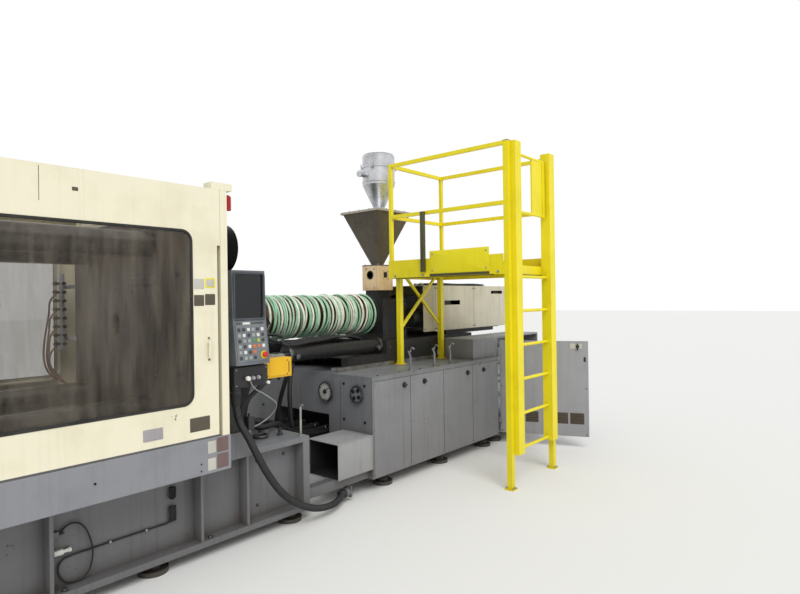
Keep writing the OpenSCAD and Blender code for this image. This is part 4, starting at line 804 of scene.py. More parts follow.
class MACHINE_OT_doors(bpy.types.Operator):
    """Window seals, screws, seams and blank plates of the sliding doors and their rails"""

    bl_idname = "machine.doors"
    bl_label = "Sliding doors"

    def execute(self, context):
        fit = context.scene.machine_fittings
        # Seal and screws, alike on both doors
        half = fit.seal / 2
        lips = [(-half * 0.6, -0.004), (-half * 0.3, 0.002), (half * 0.8, 0.003), (half, 0.0), (half, -0.002),
                (-half * 0.2, -0.004)]
        seal = window_rim(*WINDOW, 0.06, GUARD_Y, -1, lips)
        heads = screws(fit.screw * 0.8, row((-1.82, GUARD_Y, 0.90), 0.238 * Z, 7))
        for side, lip, fixed in (("operator", seal, heads), ("rear", across_y(seal), across_y(heads))):
            piece(side + "_window_seal", lip, "seal_rubber", side + "_door")
            piece(side + "_door_screws", fixed, "zinc_steel", side + "_door")
        # Seams, marks and blank plates of the operator's door, and the plates on its rail
        seams = merged(plate((-0.847, GUARD_Y, 2.285), 0.003, 0.176, thick=0.0004, corner=0.001),
                       plate((-0.679, GUARD_Y, 2.276), 0.030, 0.020, thick=0.0008),
                       bolts(0.006, every(0.080, GUARD_Y - 0.002, (1.452, 1.318)), -Y))
        piece("operator_door_marks", seams, "plate_brown", "operator_door")
        border = plate((0.094, GUARD_Y, 1.794), 0.069, 0.062, thick=0.0012)
        piece("operator_door_plate_border", border, "safety_paint", "operator_door")
        # Name, finish, slot and body, then X, Z, width, height and lift of each blank plate
        for name, finish, slot, body, plates in (
                ("operator_door_plates", "plate_blank", "lid_steel", "operator_door",
                 [(0.019, 1.787, 0.067, 0.062, 0), (0.094, 1.794, 0.052, 0.045, 0.001)]),
                ("operator_door_brown_plates", "plate_brown", "throat_beige", "operator_door",
                 [(0.018, 1.686, 0.067, 0.067, 0), (0.093, 1.691, 0.069, 0.068, 0),
                  (0.014, 0.930, 0.133, 0.085, 0)]),
                ("operator_door_pale_plate", "plate_lilac", "lid_steel", "operator_door",
                 [(-0.281, 0.919, 0.117, 0.068, 0)]),
                ("rail_plates", "plate_blank", "lid_steel", "frame",
                 [(0.092, 0.773, 0.056, 0.075, 0), (0.091, 0.667, 0.055, 0.074, 0)]),
                ("rail_rose_plates", "plate_rose", "lid_steel", "frame",
                 [(0.168, 0.778, 0.080, 0.090, 0), (0.168, 0.676, 0.080, 0.090, 0)])):
            made = [plate((x, GUARD_Y - lift, z), width, height) for x, z, width, height, lift in plates]
            piece(name, merged(*made), finish, body)
        # Rail and roof
        ends = screws(0.0055, [(0.019, GUARD_Y, 0.681), (0.018, GUARD_Y, 0.638)])
        rail = screws(fit.screw, row((-4.6, GUARD_Y, 0.720), 0.5 * X, 9))
        piece("rail_screws", merged(ends, both_sides(rail)), "nut_steel")
        cap = bolts(fit.bolt, every((0.150, 0.225), -1.085, 2.430), Z)
        roof = bolts(fit.screw, row((-4.4, -1.030, 2.352), 0.42 * X, 6), Z)
        piece("guard_bolts", merged(cap, both_sides(roof)), "zinc_steel")
        return {"FINISHED"}


class MACHINE_OT_mould_area(bpy.types.Operator):
    """Water valves, platen plates, bolts and nut collars seen through the window"""

    bl_idname = "machine.mould_area"
    bl_label = "Mould area"

    def execute(self, context):
        fit = context.scene.machine_fittings
        # Water manifold with its valves and hoses
        at = np.array([-0.030, 0.950, 0.0])
        lifts = row((0, 0, 1.340), 0.072 * Z, 8)
        pipe = turned([(0, 0.016), (0.004, 0.020), (0.640, 0.020), (0.644, 0.016)], at + (0, 0, 1.285))
        column = merged(pipe, *[box(at + (0.02, -0.22, z), at + (0.05, 0.02, z + 0.03)) for z in (1.37, 1.80)])
        piece("water_manifold", column, "contactor_grey")
        body = turned([(0, 0.011), (0.022, 0.011), (0.024, 0.018), (0.036, 0.018), (0.038, 0.010),
                       (0.052, 0.010)], at, -X, 12)
        handle = box(at + (-0.058, -0.036, -0.008), at + (-0.048, 0.036, 0.008))
        port = turned([(0, 0.010), (0.030, 0.010), (0.032, 0.014), (0.046, 0.014)], at, -Y, 12)
        valves = merged(copies(body, lifts - 0.018 * X), copies(handle, lifts),
                        copies(port, lifts - 0.018 * Y))
        piece("water_valves", valves, "nut_steel")
        drops = [[at + (-0.045, -0.01, z), at + (-0.09, -0.02, z - 0.05), at + (-0.10, 0.0, z - 0.16),
                  at + (-0.06, 0.03, 1.12 - k * 0.02), at + (0.03, 0.02, 1.00), at + (0.12, 0.0, 0.90)]
                 for k, z in enumerate(lifts[::2, 2] - 0.01)]
        piece("water_hoses", hoses(drops, 0.0075), "hose_brown")
        # Mould face of the fixed platen
        face = merged(plate((0.0, -0.453, 1.470), 0.400, 0.620, -X, 0.006, 0.01),
                      bolts(fit.bolt, every(-0.006, (-0.625, -0.280), (1.19, 1.47, 1.75)), -X))
        piece("platen_face_plate", face, "plate_umber")
        piece("platen_face_step", plate((0.0, -0.430, 1.825), 0.400, 0.060, -X, 0.010, 0.006), "plate_brown")
        # Nuts of the tie bars, and the platens' sides
        collars = []
        collar = [(0, 0.088), (0, 0.104), (0.006, 0.108), (0.012, 0.104), (0.012, 0.088)]
        for nut in every(0.570, (-TIE_BAR, TIE_BAR), (AXIS_Z - TIE_BAR, AXIS_Z + TIE_BAR)):
            collars += [screws(0.009, bolt_circle(8, 0.2, nut, 0.115), X), turned(collar, nut, X)]
        piece("tie_nut_screws", merged(*collars), "nut_steel")
        fixed = bolts(0.017, every((0.09, 0.36), PLATEN_Y, (0.86, 1.20, 1.86, 2.18)), -Y)
        piece("fixed_platen_bolts", both_sides(fixed), "nut_steel")
        moving = bolts(0.017, every((-1.33, -1.07), PLATEN_Y, (1.20, 2.18)), -Y)
        piece("moving_platen_bolts", both_sides(moving), "nut_steel", "moving_platen")
        block = box((-1.36, PLATEN_Y - 0.025, 1.30), (-1.04, PLATEN_Y, 1.72))
        piece("moving_platen_blocks", both_sides(block), "cylinder_iron", "moving_platen")
        return {"FINISHED"}


class MACHINE_OT_bed(bpy.types.Operator):
    """Plugs, connectors, brackets and bolts of the clamp bed, and the nuts of the feet"""

    bl_idname = "machine.bed"
    bl_label = "Bed"

    def execute(self, context):
        fit = context.scene.machine_fittings
        # Plug boxes, connector, lead and clips on the web
        plugs = merged(box((-0.053, -0.876, 0.288), (-0.011, -0.8655, 0.384)),
                       box((-0.053, -0.876, 0.432), (-0.011, -0.8655, 0.503)),
                       turned([(0, 0.012), (0.02, 0.012), (0.024, 0.009)], (-0.032, -0.870, 0.450), -Z, 16),
                       box((-0.757, -0.876, 0.285), (-0.724, WEB_Y, 0.452)),
                       box((-0.757, -0.870, 0.240), (-0.735, WEB_Y, 0.285)))
        piece("bed_plugs", plugs, "black_and_shade")
        union = turned([(0, 0.010), (0.028, 0.010), (0.030, 0.013), (0.040, 0.013)], (-0.668, -0.866, 0.313),
                       X, 16)
        pale = merged(box((-0.716, -0.878, 0.300), (-0.668, -0.852, 0.327)), union)
        piece("bed_connector", pale, "key_white")
        lead = [(-0.740, -0.864, 0.452), (-0.742, -0.862, 0.520), (-0.745, -0.853, 0.599)]
        piece("bed_leads", hoses([lead], 0.0045, 10, 0.008), "cable_rubber")
        clips = [box((x - 0.006, -0.868, 0.272), (x + 0.006, WEB_Y, 0.288)) for x in (-0.20, -0.415)]
        piece("cable_clips", merged(*clips), "zinc_steel")
        # Bolts of the web, the end post and the flange
        web = bolts(fit.bolt, every((-3.9, -3.0, -2.1, -1.2, 0.62, 0.86), WEB_Y, (0.20, 0.52)), -Y)
        post = bolts(0.011, every(1.030, (-0.925, -0.875), (0.20, 0.33, 0.46)), X)
        flange = bolts(0.018, row((-4.2, -0.92, 0.120), 0.88 * X, 6), Z)
        piece("bed_bolts", both_sides(web, post, flange), "bolt_steel")
        # Hooked bracket, lifting eye and studs on the bed's top
        bend = smooth([(0.986, -0.905, 0.855), (0.986, -0.915, 0.880), (0.986, -0.935, 0.872)], 0.004)
        hook = merged(pad((0.990, -0.905, BED_TOP), X, Y, 0.050, 0.030, 0.006, 0.004, 0.001),
                      box((0.976, -0.908, 0.646), (0.996, -0.902, 0.860)), tube(bend, 0.005))
        piece("bed_bracket", hook, "zinc_steel")
        turn = angles(24)
        out = np.stack([np.cos(turn), np.sin(turn), 0 * turn], -1)
        oval = np.stack([0.008 * np.cos(angles(8)), 0.011 * np.sin(angles(8))], -1)
        stud = turned([(0, 0.022), (0.018, 0.022), (0.020, 0.013), (0.052, 0.013), (0.054, 0.010)],
                      (0, 0, BED_TOP), Z, 16)
        tops = merged(rim((0.760, -0.700, BED_TOP + 0.012) + 0.055 * out, out, Z, oval),
                      copies(stud, [(0.60, -0.80, 0), (0.90, -0.76, 0), (0.68, -0.50, 0)]))
        piece("bed_top_fittings", tops, "bolt_steel")
        # Nuts of the levelling feet
        nut = turned([(-0.030, 0.030), (-0.030, 0.052), (-0.026, 0.056), (-0.004, 0.056), (0.0, 0.052),
                      (0.0, 0.030)], (0, 0, 0), Z, 6)
        feet = [every((-4.48, -3.40, -2.30, -1.20, -0.15, 0.92), (-0.84, 0.84), 0.080),
                every((2.010, 2.870, 3.698), (-0.81, 0.81), 0.120),
                every((3.988, 4.738), (-0.78, 0.78), 0.120)]
        piece("foot_nuts", copies(nut, np.concatenate(feet)), "bolt_steel", sharp=20)
        return {"FINISHED"}


class MACHINE_OT_panel(bpy.types.Operator):
    """Bezel, label strip and coloured keys of the control panel, and the plugs of its arm and terminal box"""

    bl_idname = "machine.panel"
    bl_label = "Control panel"

    def execute(self, context):
        up = np.array([0.0, math.sin(KEYPAD_TILT), math.cos(KEYPAD_TILT)])
        out = np.array([0.0, -math.cos(KEYPAD_TILT), math.sin(KEYPAD_TILT)])

        def cap(x, z, width, height, lift=0.0):
            at = KEYPAD_CORNER + x * X + z * up + lift * out
            return pad(at, X, up, width, height, 0.0012, 0.003, 0.0006)

        # Screen and keypad
        bezel = window_rim(0.325, 1.562, 0.550, 1.860, 0.012, SCREEN_Y, -1, [
            (-0.001, -0.012), (0.0, 0.001), (0.003, 0.003), (0.012, 0.003), (0.014, 0.0), (0.014, -0.002)])
        strip = pad((0.4375, SCREEN_Y, 1.551), X, Z, 0.236, 0.012, 0.001, 0.003, 0.0005)
        piece("screen_bezel", merged(bezel, strip), "bezel_abs", "control_panel")
        labels = [cap(0.030 + 0.020 * k, 0.279, 0.014, 0.011) for k in range(11) if k not in (3, 4, 5)]
        piece("panel_small_keys", merged(*labels), "key_dark", "control_panel")
        piece("panel_label_strip", cap(0.100, 0.279, 0.062, 0.016), "key_white", "control_panel")
        # Columns and rows of the keys of each colour; the corner of the emergency stop has none
        colours = {"key_green": [(3, 3)], "key_lime": [(4, 3)], "key_orange": [(3, 2), (4, 2), (3, 1)],
                   "key_dark": [(0, 5), (1, 5), (4, 5), (2, 4), (5, 4), (0, 3), (5, 3), (1, 2), (2, 1),
                                (0, 0), (3, 0)]}
        taken = sum(colours.values(), [])
        free = [(i, j) for i in range(6) for j in range(6) if (i < 4 or j > 1) and (i, j) not in taken]
        colours["key_white"] = [(i, j) for i, j in free if (i + 2 * j) % 3 == 0]
        colours["key_pale"] = [(i, j) for i, j in free if (i + 2 * j) % 3 != 0]
        for name, keys in colours.items():
            caps = [cap(0.037 + 0.037 * i, 0.047 + 0.038 * j, 0.022, 0.022, 0.005) for i, j in keys]
            piece("caps_" + name, merged(*caps), name, "control_panel")
        ring = turned([(0, 0.024), (0.002, 0.027), (0.004, 0.027), (0.005, 0.024)],
                      KEYPAD_CORNER + 0.220 * X + 0.060 * up + 0.003 * out, out)
        piece("stop_collar", ring, "safety_paint", "control_panel")
        piece("panel_screws", screws(0.0045, every((0.316, 0.559), SCREEN_Y, (1.60, 1.82))), "nut_steel",
              "control_panel")

        # Sockets and cables of the arm's box
        sockets = row((0.395, -1.078, 1.160), 0.042 * X, 5)
        white = merged(turned([(0, 0.016), (0.016, 0.016), (0.020, 0.012)], sockets[0], -Y, 16),
                       turned([(0, 0.012), (0.012, 0.012), (0.014, 0.009)], (0.572, -1.060, 1.113), -Y, 16))
        piece("arm_plug_white", white, "key_white")
        rest = turned([(0, 0.014), (0.006, 0.014), (0.007, 0.011), (0.018, 0.011), (0.020, 0.008)],
                      (0, 0, 0), -Y, 16)
        piece("arm_plugs", copies(rest, sockets[1:3]), "plate_lilac")
        piece("arm_box_screws", screws(0.006, every((0.320, 0.555), -1.060, (1.115, 1.220))), "zinc_steel")
        lead = [(0.419, -1.072, 1.158), (0.424, -1.076, 1.125), (0.455, -1.074, 1.085),
                (0.520, -1.070, 1.045), (0.590, -1.064, 1.000), (0.655, -1.040, 0.955),
                (0.690, -0.985, 0.900), (0.660, -0.930, 0.830), (0.580, -0.910, 0.790), (0.540, -0.905, 0.780)]
        piece("panel_lead", hoses([lead], 0.0045, 10, 0.008), "grey_cable")
        bundle = [[(0.615 + 0.025 * k, -0.950, 1.125), (0.560 + 0.012 * k, -0.945, 1.055),
                   (0.480 + 0.012 * k, -0.915, 0.980), (0.447 + 0.018 * k, -0.900, 0.900),
                   (0.446 + 0.018 * k, -0.895, 0.783)] for k in range(4)]
        bundle += [[(0.478 + 0.016 * k, -0.955, 1.130), (0.470 + 0.014 * k, -0.930, 1.040),
                    (0.456 + 0.014 * k, -0.905, 0.950), (0.440 + 0.010 * k, -0.895, 0.783)]
                   for k in range(-3, 3)]
        piece("terminal_cables", hoses(bundle, 0.009), "cable_rubber")
        piece("terminal_cable_ends", ferrules(bundle, 0.009, 0.022), "latch_black")
        # Switch and plug on the arm's column
        column = merged(box((0.490, -0.945, 0.777), (0.540, -0.880, 0.870)),
                        turned([(0, 0.008), (0.02, 0.008)], (0.515, -0.912, 0.870), Z, 12))
        piece("column_switch", column, "latch_black")
        plug = turned([(0, 0.016), (0.006, 0.016), (0.009, 0.012), (0.016, 0.011)], (0.385, -0.930, 0.985),
                      -Y, 20)
        piece("column_plug", plug, "plate_blank")

        # Terminal box
        gland = [(0, 0.014), (0.012, 0.014), (0.014, 0.010), (0.024, 0.010)]
        marks = merged(plate((0.800, -1.006, 1.195), 0.006, 0.080, thick=0.002),
                       screws(0.005, every((0.610, 0.785), -1.006, (1.146, 1.243))),
                       *[turned(gland, (x, -0.95, 1.125), -Z, 12) for x in (0.65, 0.75)])
        piece("terminal_fittings", marks, "nut_steel")
        return {"FINISHED"}


class MACHINE_OT_barrel(bpy.types.Operator):
    """Thin turns of hose round the barrel, heater leads, terminal caps and sagging hoses"""

    bl_idname = "machine.barrel"
    bl_label = "Barrel"

    def execute(self, context):
        # Turns of hose, each a closed ring with a size, a lean and a shade of its own
        rng = np.random.default_rng(5)
        count = context.scene.machine_fittings.turns
        first, last = 1.252, 2.590
        turn, a = angles(48), angles(10)
        out = np.stack([0 * turn, np.cos(turn), np.sin(turn)], -1)
        shapes, shades = [], []
        for k in range(count):
            size = rng.uniform(0.0080, 0.0122)
            reach = 0.186 + rng.uniform(0, 0.020) + 0.004 * np.sin(2 * turn + rng.uniform(0, 6))
            lean = np.radians(rng.uniform(-9, 9))
            x = first + (last - first) * k / (count - 1) + rng.uniform(-0.005, 0.005)
            x = np.clip(x, 1.246, 2.594) + reach * np.sin(lean) * np.cos(turn + rng.uniform(0, 6)) * 0.6
            path = np.stack([x, reach * np.cos(turn), AXIS_Z + reach * np.sin(turn)], -1)
            shapes.append(rim(path, out, X, size * np.stack([np.cos(a), np.sin(a)], -1)))
            odds = [0.40, 0.30, 0.20, 0.10] if k % 9 < 5 else [0.2, 0.2, 0.4, 0.2]
            shades.append(rng.choice([0.02, 0.25, 0.50, 0.80], p=odds) + rng.uniform(0, 0.1))
        wound = piece("barrel_hose_turns", merged(*shapes), "hose_wound", "carriage", 60)
        shade = wound.data.attributes.new("shade", "FLOAT", "FACE")
        shade.data.foreach_set("value", np.repeat(np.array(shades, np.float32), [len(f) for _, f in shapes]))
        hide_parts("barrel_windings")

        # Terminal caps, clamps and leads of the heater bands
        caps = [box((x - 0.02, -0.06, AXIS_Z + 0.168), (x + 0.02, 0.06, AXIS_Z + 0.196)) for x in BANDS]
        piece("heater_terminals", merged(*caps), "contactor_grey", "carriage")
        clamps = [box((x - 0.028, -0.184, AXIS_Z - 0.03), (x + 0.028, -0.166, AXIS_Z + 0.03)) for x in BANDS]
        heads = bolts(0.009, every(BANDS, -0.184, (AXIS_Z - 0.015, AXIS_Z + 0.015)), -Y)
        piece("heater_clamps", merged(*clamps, heads), "zinc_steel", "carriage")
        leads = [[(x, -0.055, AXIS_Z + 0.190), (x + 0.03, -0.10, AXIS_Z + 0.200),
                  (x + 0.10, -0.185, AXIS_Z + 0.10), (x + 0.20, -0.225, AXIS_Z - 0.06),
                  (1.05 + 0.02 * k, -0.262, AXIS_Z - 0.17),
                  (1.40, -0.27 - 0.012 * k, 1.318), (1.85, -0.262 - 0.010 * k, 1.312),
                  (2.15, -0.225 - 0.012 * k, 1.305), (2.40, -0.150 - 0.018 * k, 1.262),
                  (2.47, -0.135 - 0.018 * k, 1.236), (2.497, -0.135 - 0.018 * k, 1.232)]
                 for k, x in enumerate(BANDS)]
        piece("heater_leads", hoses(leads, 0.007), "cable_rubber", "carriage")
        # Hoses that sag below the barrel
        sag = [[(0.74 + 0.10 * k, -0.215, 1.400), (0.92 + 0.12 * k, -0.268 - 0.02 * k, 1.345),
                (1.25, -0.290 - 0.022 * k, 1.300 + 0.006 * k), (1.62, -0.286 - 0.026 * k, 1.326 - 0.008 * k),
                (1.92, -0.250 - 0.022 * k, 1.318), (2.20, -0.200 - 0.022 * k, 1.300),
                (2.40, -0.155 - 0.022 * k, 1.238), (2.47, -0.148 - 0.022 * k, 1.200),
                (2.497, -0.148 - 0.022 * k, 1.195)] for k in range(4)]
        piece("sagging_hoses", hoses(sag, 0.013), "hose_plastic", "carriage")
        piece("sagging_hose_ends", ferrules(sag, 0.013), "zinc_steel", "carriage")
        # Collars and ports of the traverse cylinders
        collar = [(0, 0.040), (0, 0.078), (0.006, 0.082), (0.034, 0.082), (0.040, 0.078), (0.040, 0.040)]
        port = [(0, 0.018), (0.03, 0.018), (0.032, 0.024), (0.046, 0.024), (0.048, 0.018)]
        rods = []
        for side in (-1, 1):
            rods += [turned(collar, (x, side * 0.33, 1.200), X) for x in (1.300, 2.455)]
            rods += [turned(port, (x, side * 0.392, 1.185), side * Y, 12) for x in (1.36, 2.40)]
        piece("traverse_fittings", merged(*rods), "bolt_steel")
        return {"FINISHED"}


class MACHINE_OT_base(bpy.types.Operator):
    """Panel screws, gauges, hoses, painted shade inside the step box and end fittings of the injection base"""

    bl_idname = "machine.base"
    bl_label = "Injection base"

    def execute(self, context):
        fit = context.scene.machine_fittings
        # Step box
        tread = pad((1.530, -0.775, 0.506), X, Y, 0.400, 0.340, 0.0012, 0.006, 0.0004)
        rib = pad((0, 0, 0), X, Y, 0.360, 0.006, 0.0016, 0.0025, 0.0006)
        ribs = copies(rib, row((1.530, -0.915, 0.5070), 0.028 * Y, 11))
        piece("step_tread", merged(tread, ribs), "step_paint")
        # Dark sheet inside the step box's open side: painted shade where its inside is only in shade
        piece("step_painted_shade", lining((1.3305, -0.9445, 0.2155), (1.7345, -0.6055, 0.4945)), "black_and_shade")
        # Screws of the side panels
        edges = (BASE_X + 0.522 * np.arange(4)[:, None] + (0.030, 0.492)).ravel()
        heads = screws(fit.screw, every(edges, BASE_Y, (0.150, 0.540, 0.928)))
        piece("side_panel_screws", both_sides(heads), "zinc_steel")
        # Gauge with its dial, ticks and needle, and the blank cover beside it
        gauge, blank = np.array([1.716, -0.375, 0.831]), np.array([1.716, -0.778, 0.843])
        gauges = [(gauge, 0.090), (blank, 0.075)]
        rings = [turned([(-0.002, r - 0.012), (0.006, r - 0.013), (0.009, r - 0.006), (0.006, r + 0.002),
                         (0.0, r + 0.004), (-0.012, r + 0.003)], at, -X, 48) for at, r in gauges]
        piece("gauge_bezels", merged(*rings), "bolt_steel")
        dial, cover = [turned([(-0.001, 0.0), (0.0016, 0.001), (0.0016, r - 0.014), (-0.001, r - 0.012)],
                              at, -X, 48) for at, r in gauges]
        piece("gauge_dial", dial, "dial_face")
        piece("gauge_blank", cover, "bed_paint")
        tick = box(gauge + (-0.0028, -0.0020, 0.0594), gauge + (-0.0008, 0.0020, 0.0720), 0.0005)
        needle = box(gauge + (-0.0045, -0.0030, -0.02), gauge + (-0.0025, 0.0030, 0.0558), 0.0005)
        marks = [bolts(0.017, bolt_circle(4, 0.6, blank - 0.0015 * X, 0.040), -X),
                 turned([(0.0, 0.020), (0.010, 0.020), (0.016, 0.014), (0.016, 0.0)], gauge, -X, 24),
                 *[turned_by(tick, t, X, gauge) for t in np.linspace(-2.2, 2.2, 12)],
                 turned_by(needle, 0.9, X, gauge),
                 screws(0.0065, bolt_circle(3, 0.5, gauge - 0.0005 * X, 0.068), -X)]
        piece("gauge_needles", merged(*marks), "nut_steel")
        # End face of the base
        seam = plate((BASE_X, -0.553, 0.700), 0.004, 0.480, -X, 0.0005, 0.001)
        end = bolts(fit.bolt, every(BASE_X, (-0.86, -0.60, 0.60, 0.86), (0.60, 0.92)), -X)
        piece("base_end_bolts", merged(end, seam), "nut_steel")
        # Hoses between the two beds
        bed = [[(1.86, -0.30 + 0.15 * k, 0.42), (1.70, -0.31 + 0.15 * k, 0.430),
                (1.52 - 0.03 * k, -0.32 + 0.14 * k, 0.42 + 0.02 * k),
                (1.38 - 0.02 * k, -0.34 + 0.10 * k, 0.52), (1.32, -0.36 + 0.075 * k, 0.76),
                (1.33, -0.352 + 0.03 * k, 0.98),
                (1.36, -0.345 + 0.01 * k, 1.120)] for k in (0, 2)]
        piece("bed_hoses", hoses(bed, 0.021, 16), "hose_plastic")
        supply = [[(1.86, y, 0.36), (1.66, y, 0.345), (1.45, y - 0.02, 0.330), (1.22, y - 0.03, 0.365),
                   (1.06, y - 0.02, 0.400)] for y in (-0.22, -0.08, 0.06, 0.20, 0.33)]
        piece("supply_hoses", hoses(supply, 0.024, 16), "hose_plastic")
        piece("supply_ferrules", ferrules(supply, 0.024, 0.07), "zinc_steel")
        deck = [[(0.455, y, 0.980), (0.545, y - 0.01, 0.930), (0.640, y - 0.02, 0.790 + 0.02 * (k % 3)),
                 (0.800, y - 0.01, 0.700 + 0.03 * (k % 2)), (0.990, y + 0.02, 0.690),
                 (1.180, 0.8 * y + 0.03, 0.600), (1.480, 0.62 * y + 0.02, 0.480),
                 (1.860, 0.5 * y, 0.440 + 0.02 * (k % 2))]
                for k, y in enumerate((-0.62, -0.50, -0.38, -0.22, -0.05, 0.16, 0.38, 0.58))]
        piece("deck_hoses", hoses(deck, 0.020, 14), "hose_plastic")
        piece("deck_ferrules", ferrules(deck, 0.020, 0.06), "bolt_steel")
        flanges = [box((0.450, y - 0.035, 0.945), (0.475, y + 0.035, 1.015))
                   for y in (-0.62, -0.38, -0.05, 0.38)]
        piece("deck_hose_flanges", merged(*flanges), "nut_steel")
        piece("base_end_inside", lining((1.7615, -0.398, 0.282), (2.300, 0.398, 0.618)), "tank_paint")
        # Hooks, the base's top and the gland of the control hose
        arms = []
        for x in (2.325, 2.700, 2.970):
            tip = [(x, -0.900, 1.170), (x, -0.905, 1.196), (x, -0.925, 1.212), (x, -0.946, 1.200)]
            arms += [tube(smooth(tip, 0.004), 0.0085),
                     turned([(0, 0.022), (0.012, 0.022), (0.014, 0.012)], (x, -0.900, 1.000), Z, 6)]
        piece("hook_tips", merged(*arms), "ground_steel")
        top = bolts(fit.bolt, every(np.arange(1.85, 3.4, 0.3), (-0.915, 0.915), 1.000), Z)
        piece("base_top_bolts", top, "bolt_steel")
        gland = turned([(0, 0.037), (0.004, 0.041), (0.016, 0.041), (0.018, 0.037)],
                       HOSE_ROUTE[-1] + 0.002 * X, -X, 6)
        piece("hose_gland_nut", gland, "latch_black")
        return {"FINISHED"}


class MACHINE_OT_feed(bpy.types.Operator):
    """Rims, clamps, sight glasses, hoses and screws of the hopper, loader, covers and carriage"""

    bl_idname = "machine.feed"
    bl_label = "Feed and covers"

    def execute(self, context):
        fit = context.scene.machine_fittings
        # Hopper and throat block
        edge, steps = HOPPER_HALF + 0.007, (-0.15, 0.0, 0.15)
        mid = HOPPER_X * X
        heads = np.concatenate([every((-edge, edge), steps, 2.638), every(steps, (-edge, edge), 2.638)])
        parts = merged(bolts(0.008, mid + heads, Z),
                       bolts(0.011, mid + every((-0.095, 0.095), (-0.095, 0.095), 2.052), Z),
                       bolts(0.011, mid + every(-0.120, (-0.06, 0.06), (1.80, 2.01)), -X))
        piece("hopper_bolts", parts, "zinc_steel", "carriage")
        side = 2 * HOPPER_HALF + 0.028
        ring = outline(side, side, 0.006)
        out = unit(np.insert(ring - outline(side - 0.002, side - 0.002, 0.005), 2, 0, axis=1))
        lip = rim(np.insert(ring + (HOPPER_X, 0), 2, 2.630, axis=1), out, Z,
                  [(0.0, -0.018), (0.002, -0.018), (0.003, -0.006), (0.001, 0.0), (0.0, 0.0)])
        piece("hopper_edge", lip, "hopper_edge", "carriage")
        eye = np.array([HOPPER_X - 0.120, 0.0, 1.940])
        glass = merged(turned([(-0.02, 0.0), (-0.004, 0.001), (-0.004, 0.034), (-0.02, 0.034)], eye, -X),
                       pad((HOPPER_X, -0.116, 1.940), X, Z, 0.056, 0.056, 0.003, 0.003, 0.0008))
        piece("sight_glass", glass, "screen_glass", "carriage")
        corners = every((-0.042, 0.042), -0.120, (1.898, 1.982))
        flange = turned([(0.0, 0.035), (0.004, 0.035), (0.006, 0.040), (0.006, 0.046), (0.0, 0.049)], eye, -X)
        frames = merged(flange, bolts(0.005, mid + corners, -Y))
        piece("sight_frames", frames, "nut_steel", "carriage")

        # Vacuum loader
        clip = merged(box(LOADER + (0.189, -0.014, 3.110), LOADER + (0.197, 0.014, 3.176)),
                      box(LOADER + (0.195, -0.009, 3.125), LOADER + (0.203, 0.009, 3.190)))
        clips = [turned_by(clip, turn, Z, LOADER) for turn in np.radians((20, 140, 200, 320))]
        band = turned([(0, 0.183), (0.004, 0.186), (0.010, 0.186), (0.014, 0.183)], LOADER + 2.968 * Z, Z, 64)
        crown = turned([(0, 0.166), (0.0, 0.168), (0.003, 0.168), (0.006, 0.040), (0.030, 0.038),
                        (0.034, 0.034), (0.034, 0.0)], LOADER + 3.281 * Z, Z, 48)
        inlet = turned([(0.0, 0.028), (0, 0.036), (0.012, 0.036), (0.012, 0.028)], (2.648, 0.060, 3.052),
                       X, 24)
        piece("loader_clips", merged(*clips, band, crown, inlet), "loader_steel", "carriage")

        # Cover of the injection drive
        seams = [plate((x, COVER_Y, 1.560), 0.003, 0.510, thick=0.0004, corner=0.001)
                 for x in (3.400, 4.190, 4.975)]
        heads = screws(fit.screw, every((3.19, 3.38, 3.42, 4.17, 4.21, 4.95), COVER_Y, (1.33, 1.79)))
        piece("cover_seams", both_sides(merged(*seams, heads)), "plate_brown", "carriage")
        run = [[(3.24, -0.30, 1.835), (3.60, -0.33, 1.842), (3.98, -0.29, 1.838), (4.30, -0.33, 1.840),
                (4.60, -0.28, 1.835)],
               [(3.24, -0.22, 1.833), (3.55, -0.25, 1.836), (3.90, -0.21, 1.834), (4.38, -0.24, 1.836),
                (4.66, -0.20, 1.833)]]
        piece("cover_hoses", hoses(run, 0.012), "hose_plastic", "carriage")
        piece("cover_hose_ends", ferrules(run, 0.012, 0.045), "zinc_steel", "carriage")

        # Carriage, clamp cylinder and beacon
        beam = screws(0.013, row((2.54, -0.450, 1.180), 0.22 * X, 6))
        flange = screws(0.012, bolt_circle(8, 0.39, (2.629, 0, AXIS_Z), 0.185), -X)
        house = bolts(0.012, every((2.69, 3.01), -0.260, (1.31, 1.62)), -Y)
        heads = merged(both_sides(beam), flange, both_sides(house))
        piece("carriage_bolts", heads, "bolt_steel", "carriage")
        back = screws(0.012, every(4.990, (-0.36, 0.0, 0.36), (1.34, 1.78)), X)
        piece("cover_end_screws", back, "zinc_steel", "carriage")
        piece("clamp_cylinder_bolts", screws(0.020, bolt_circle(12, 0, (-4.550, 0, AXIS_Z), 0.30), -X),
              "nut_steel")
        lens = turned([(0, 0.0232), (0.001, 0.0246), (0.004, 0.0246), (0.005, 0.0232)],
                      (0.260, -1.075, 2.276))
        piece("beacon_ribs", copies(lens, row((0, 0, 0), 0.010 * Z, 8)), "beacon_red")
        return {"FINISHED"}


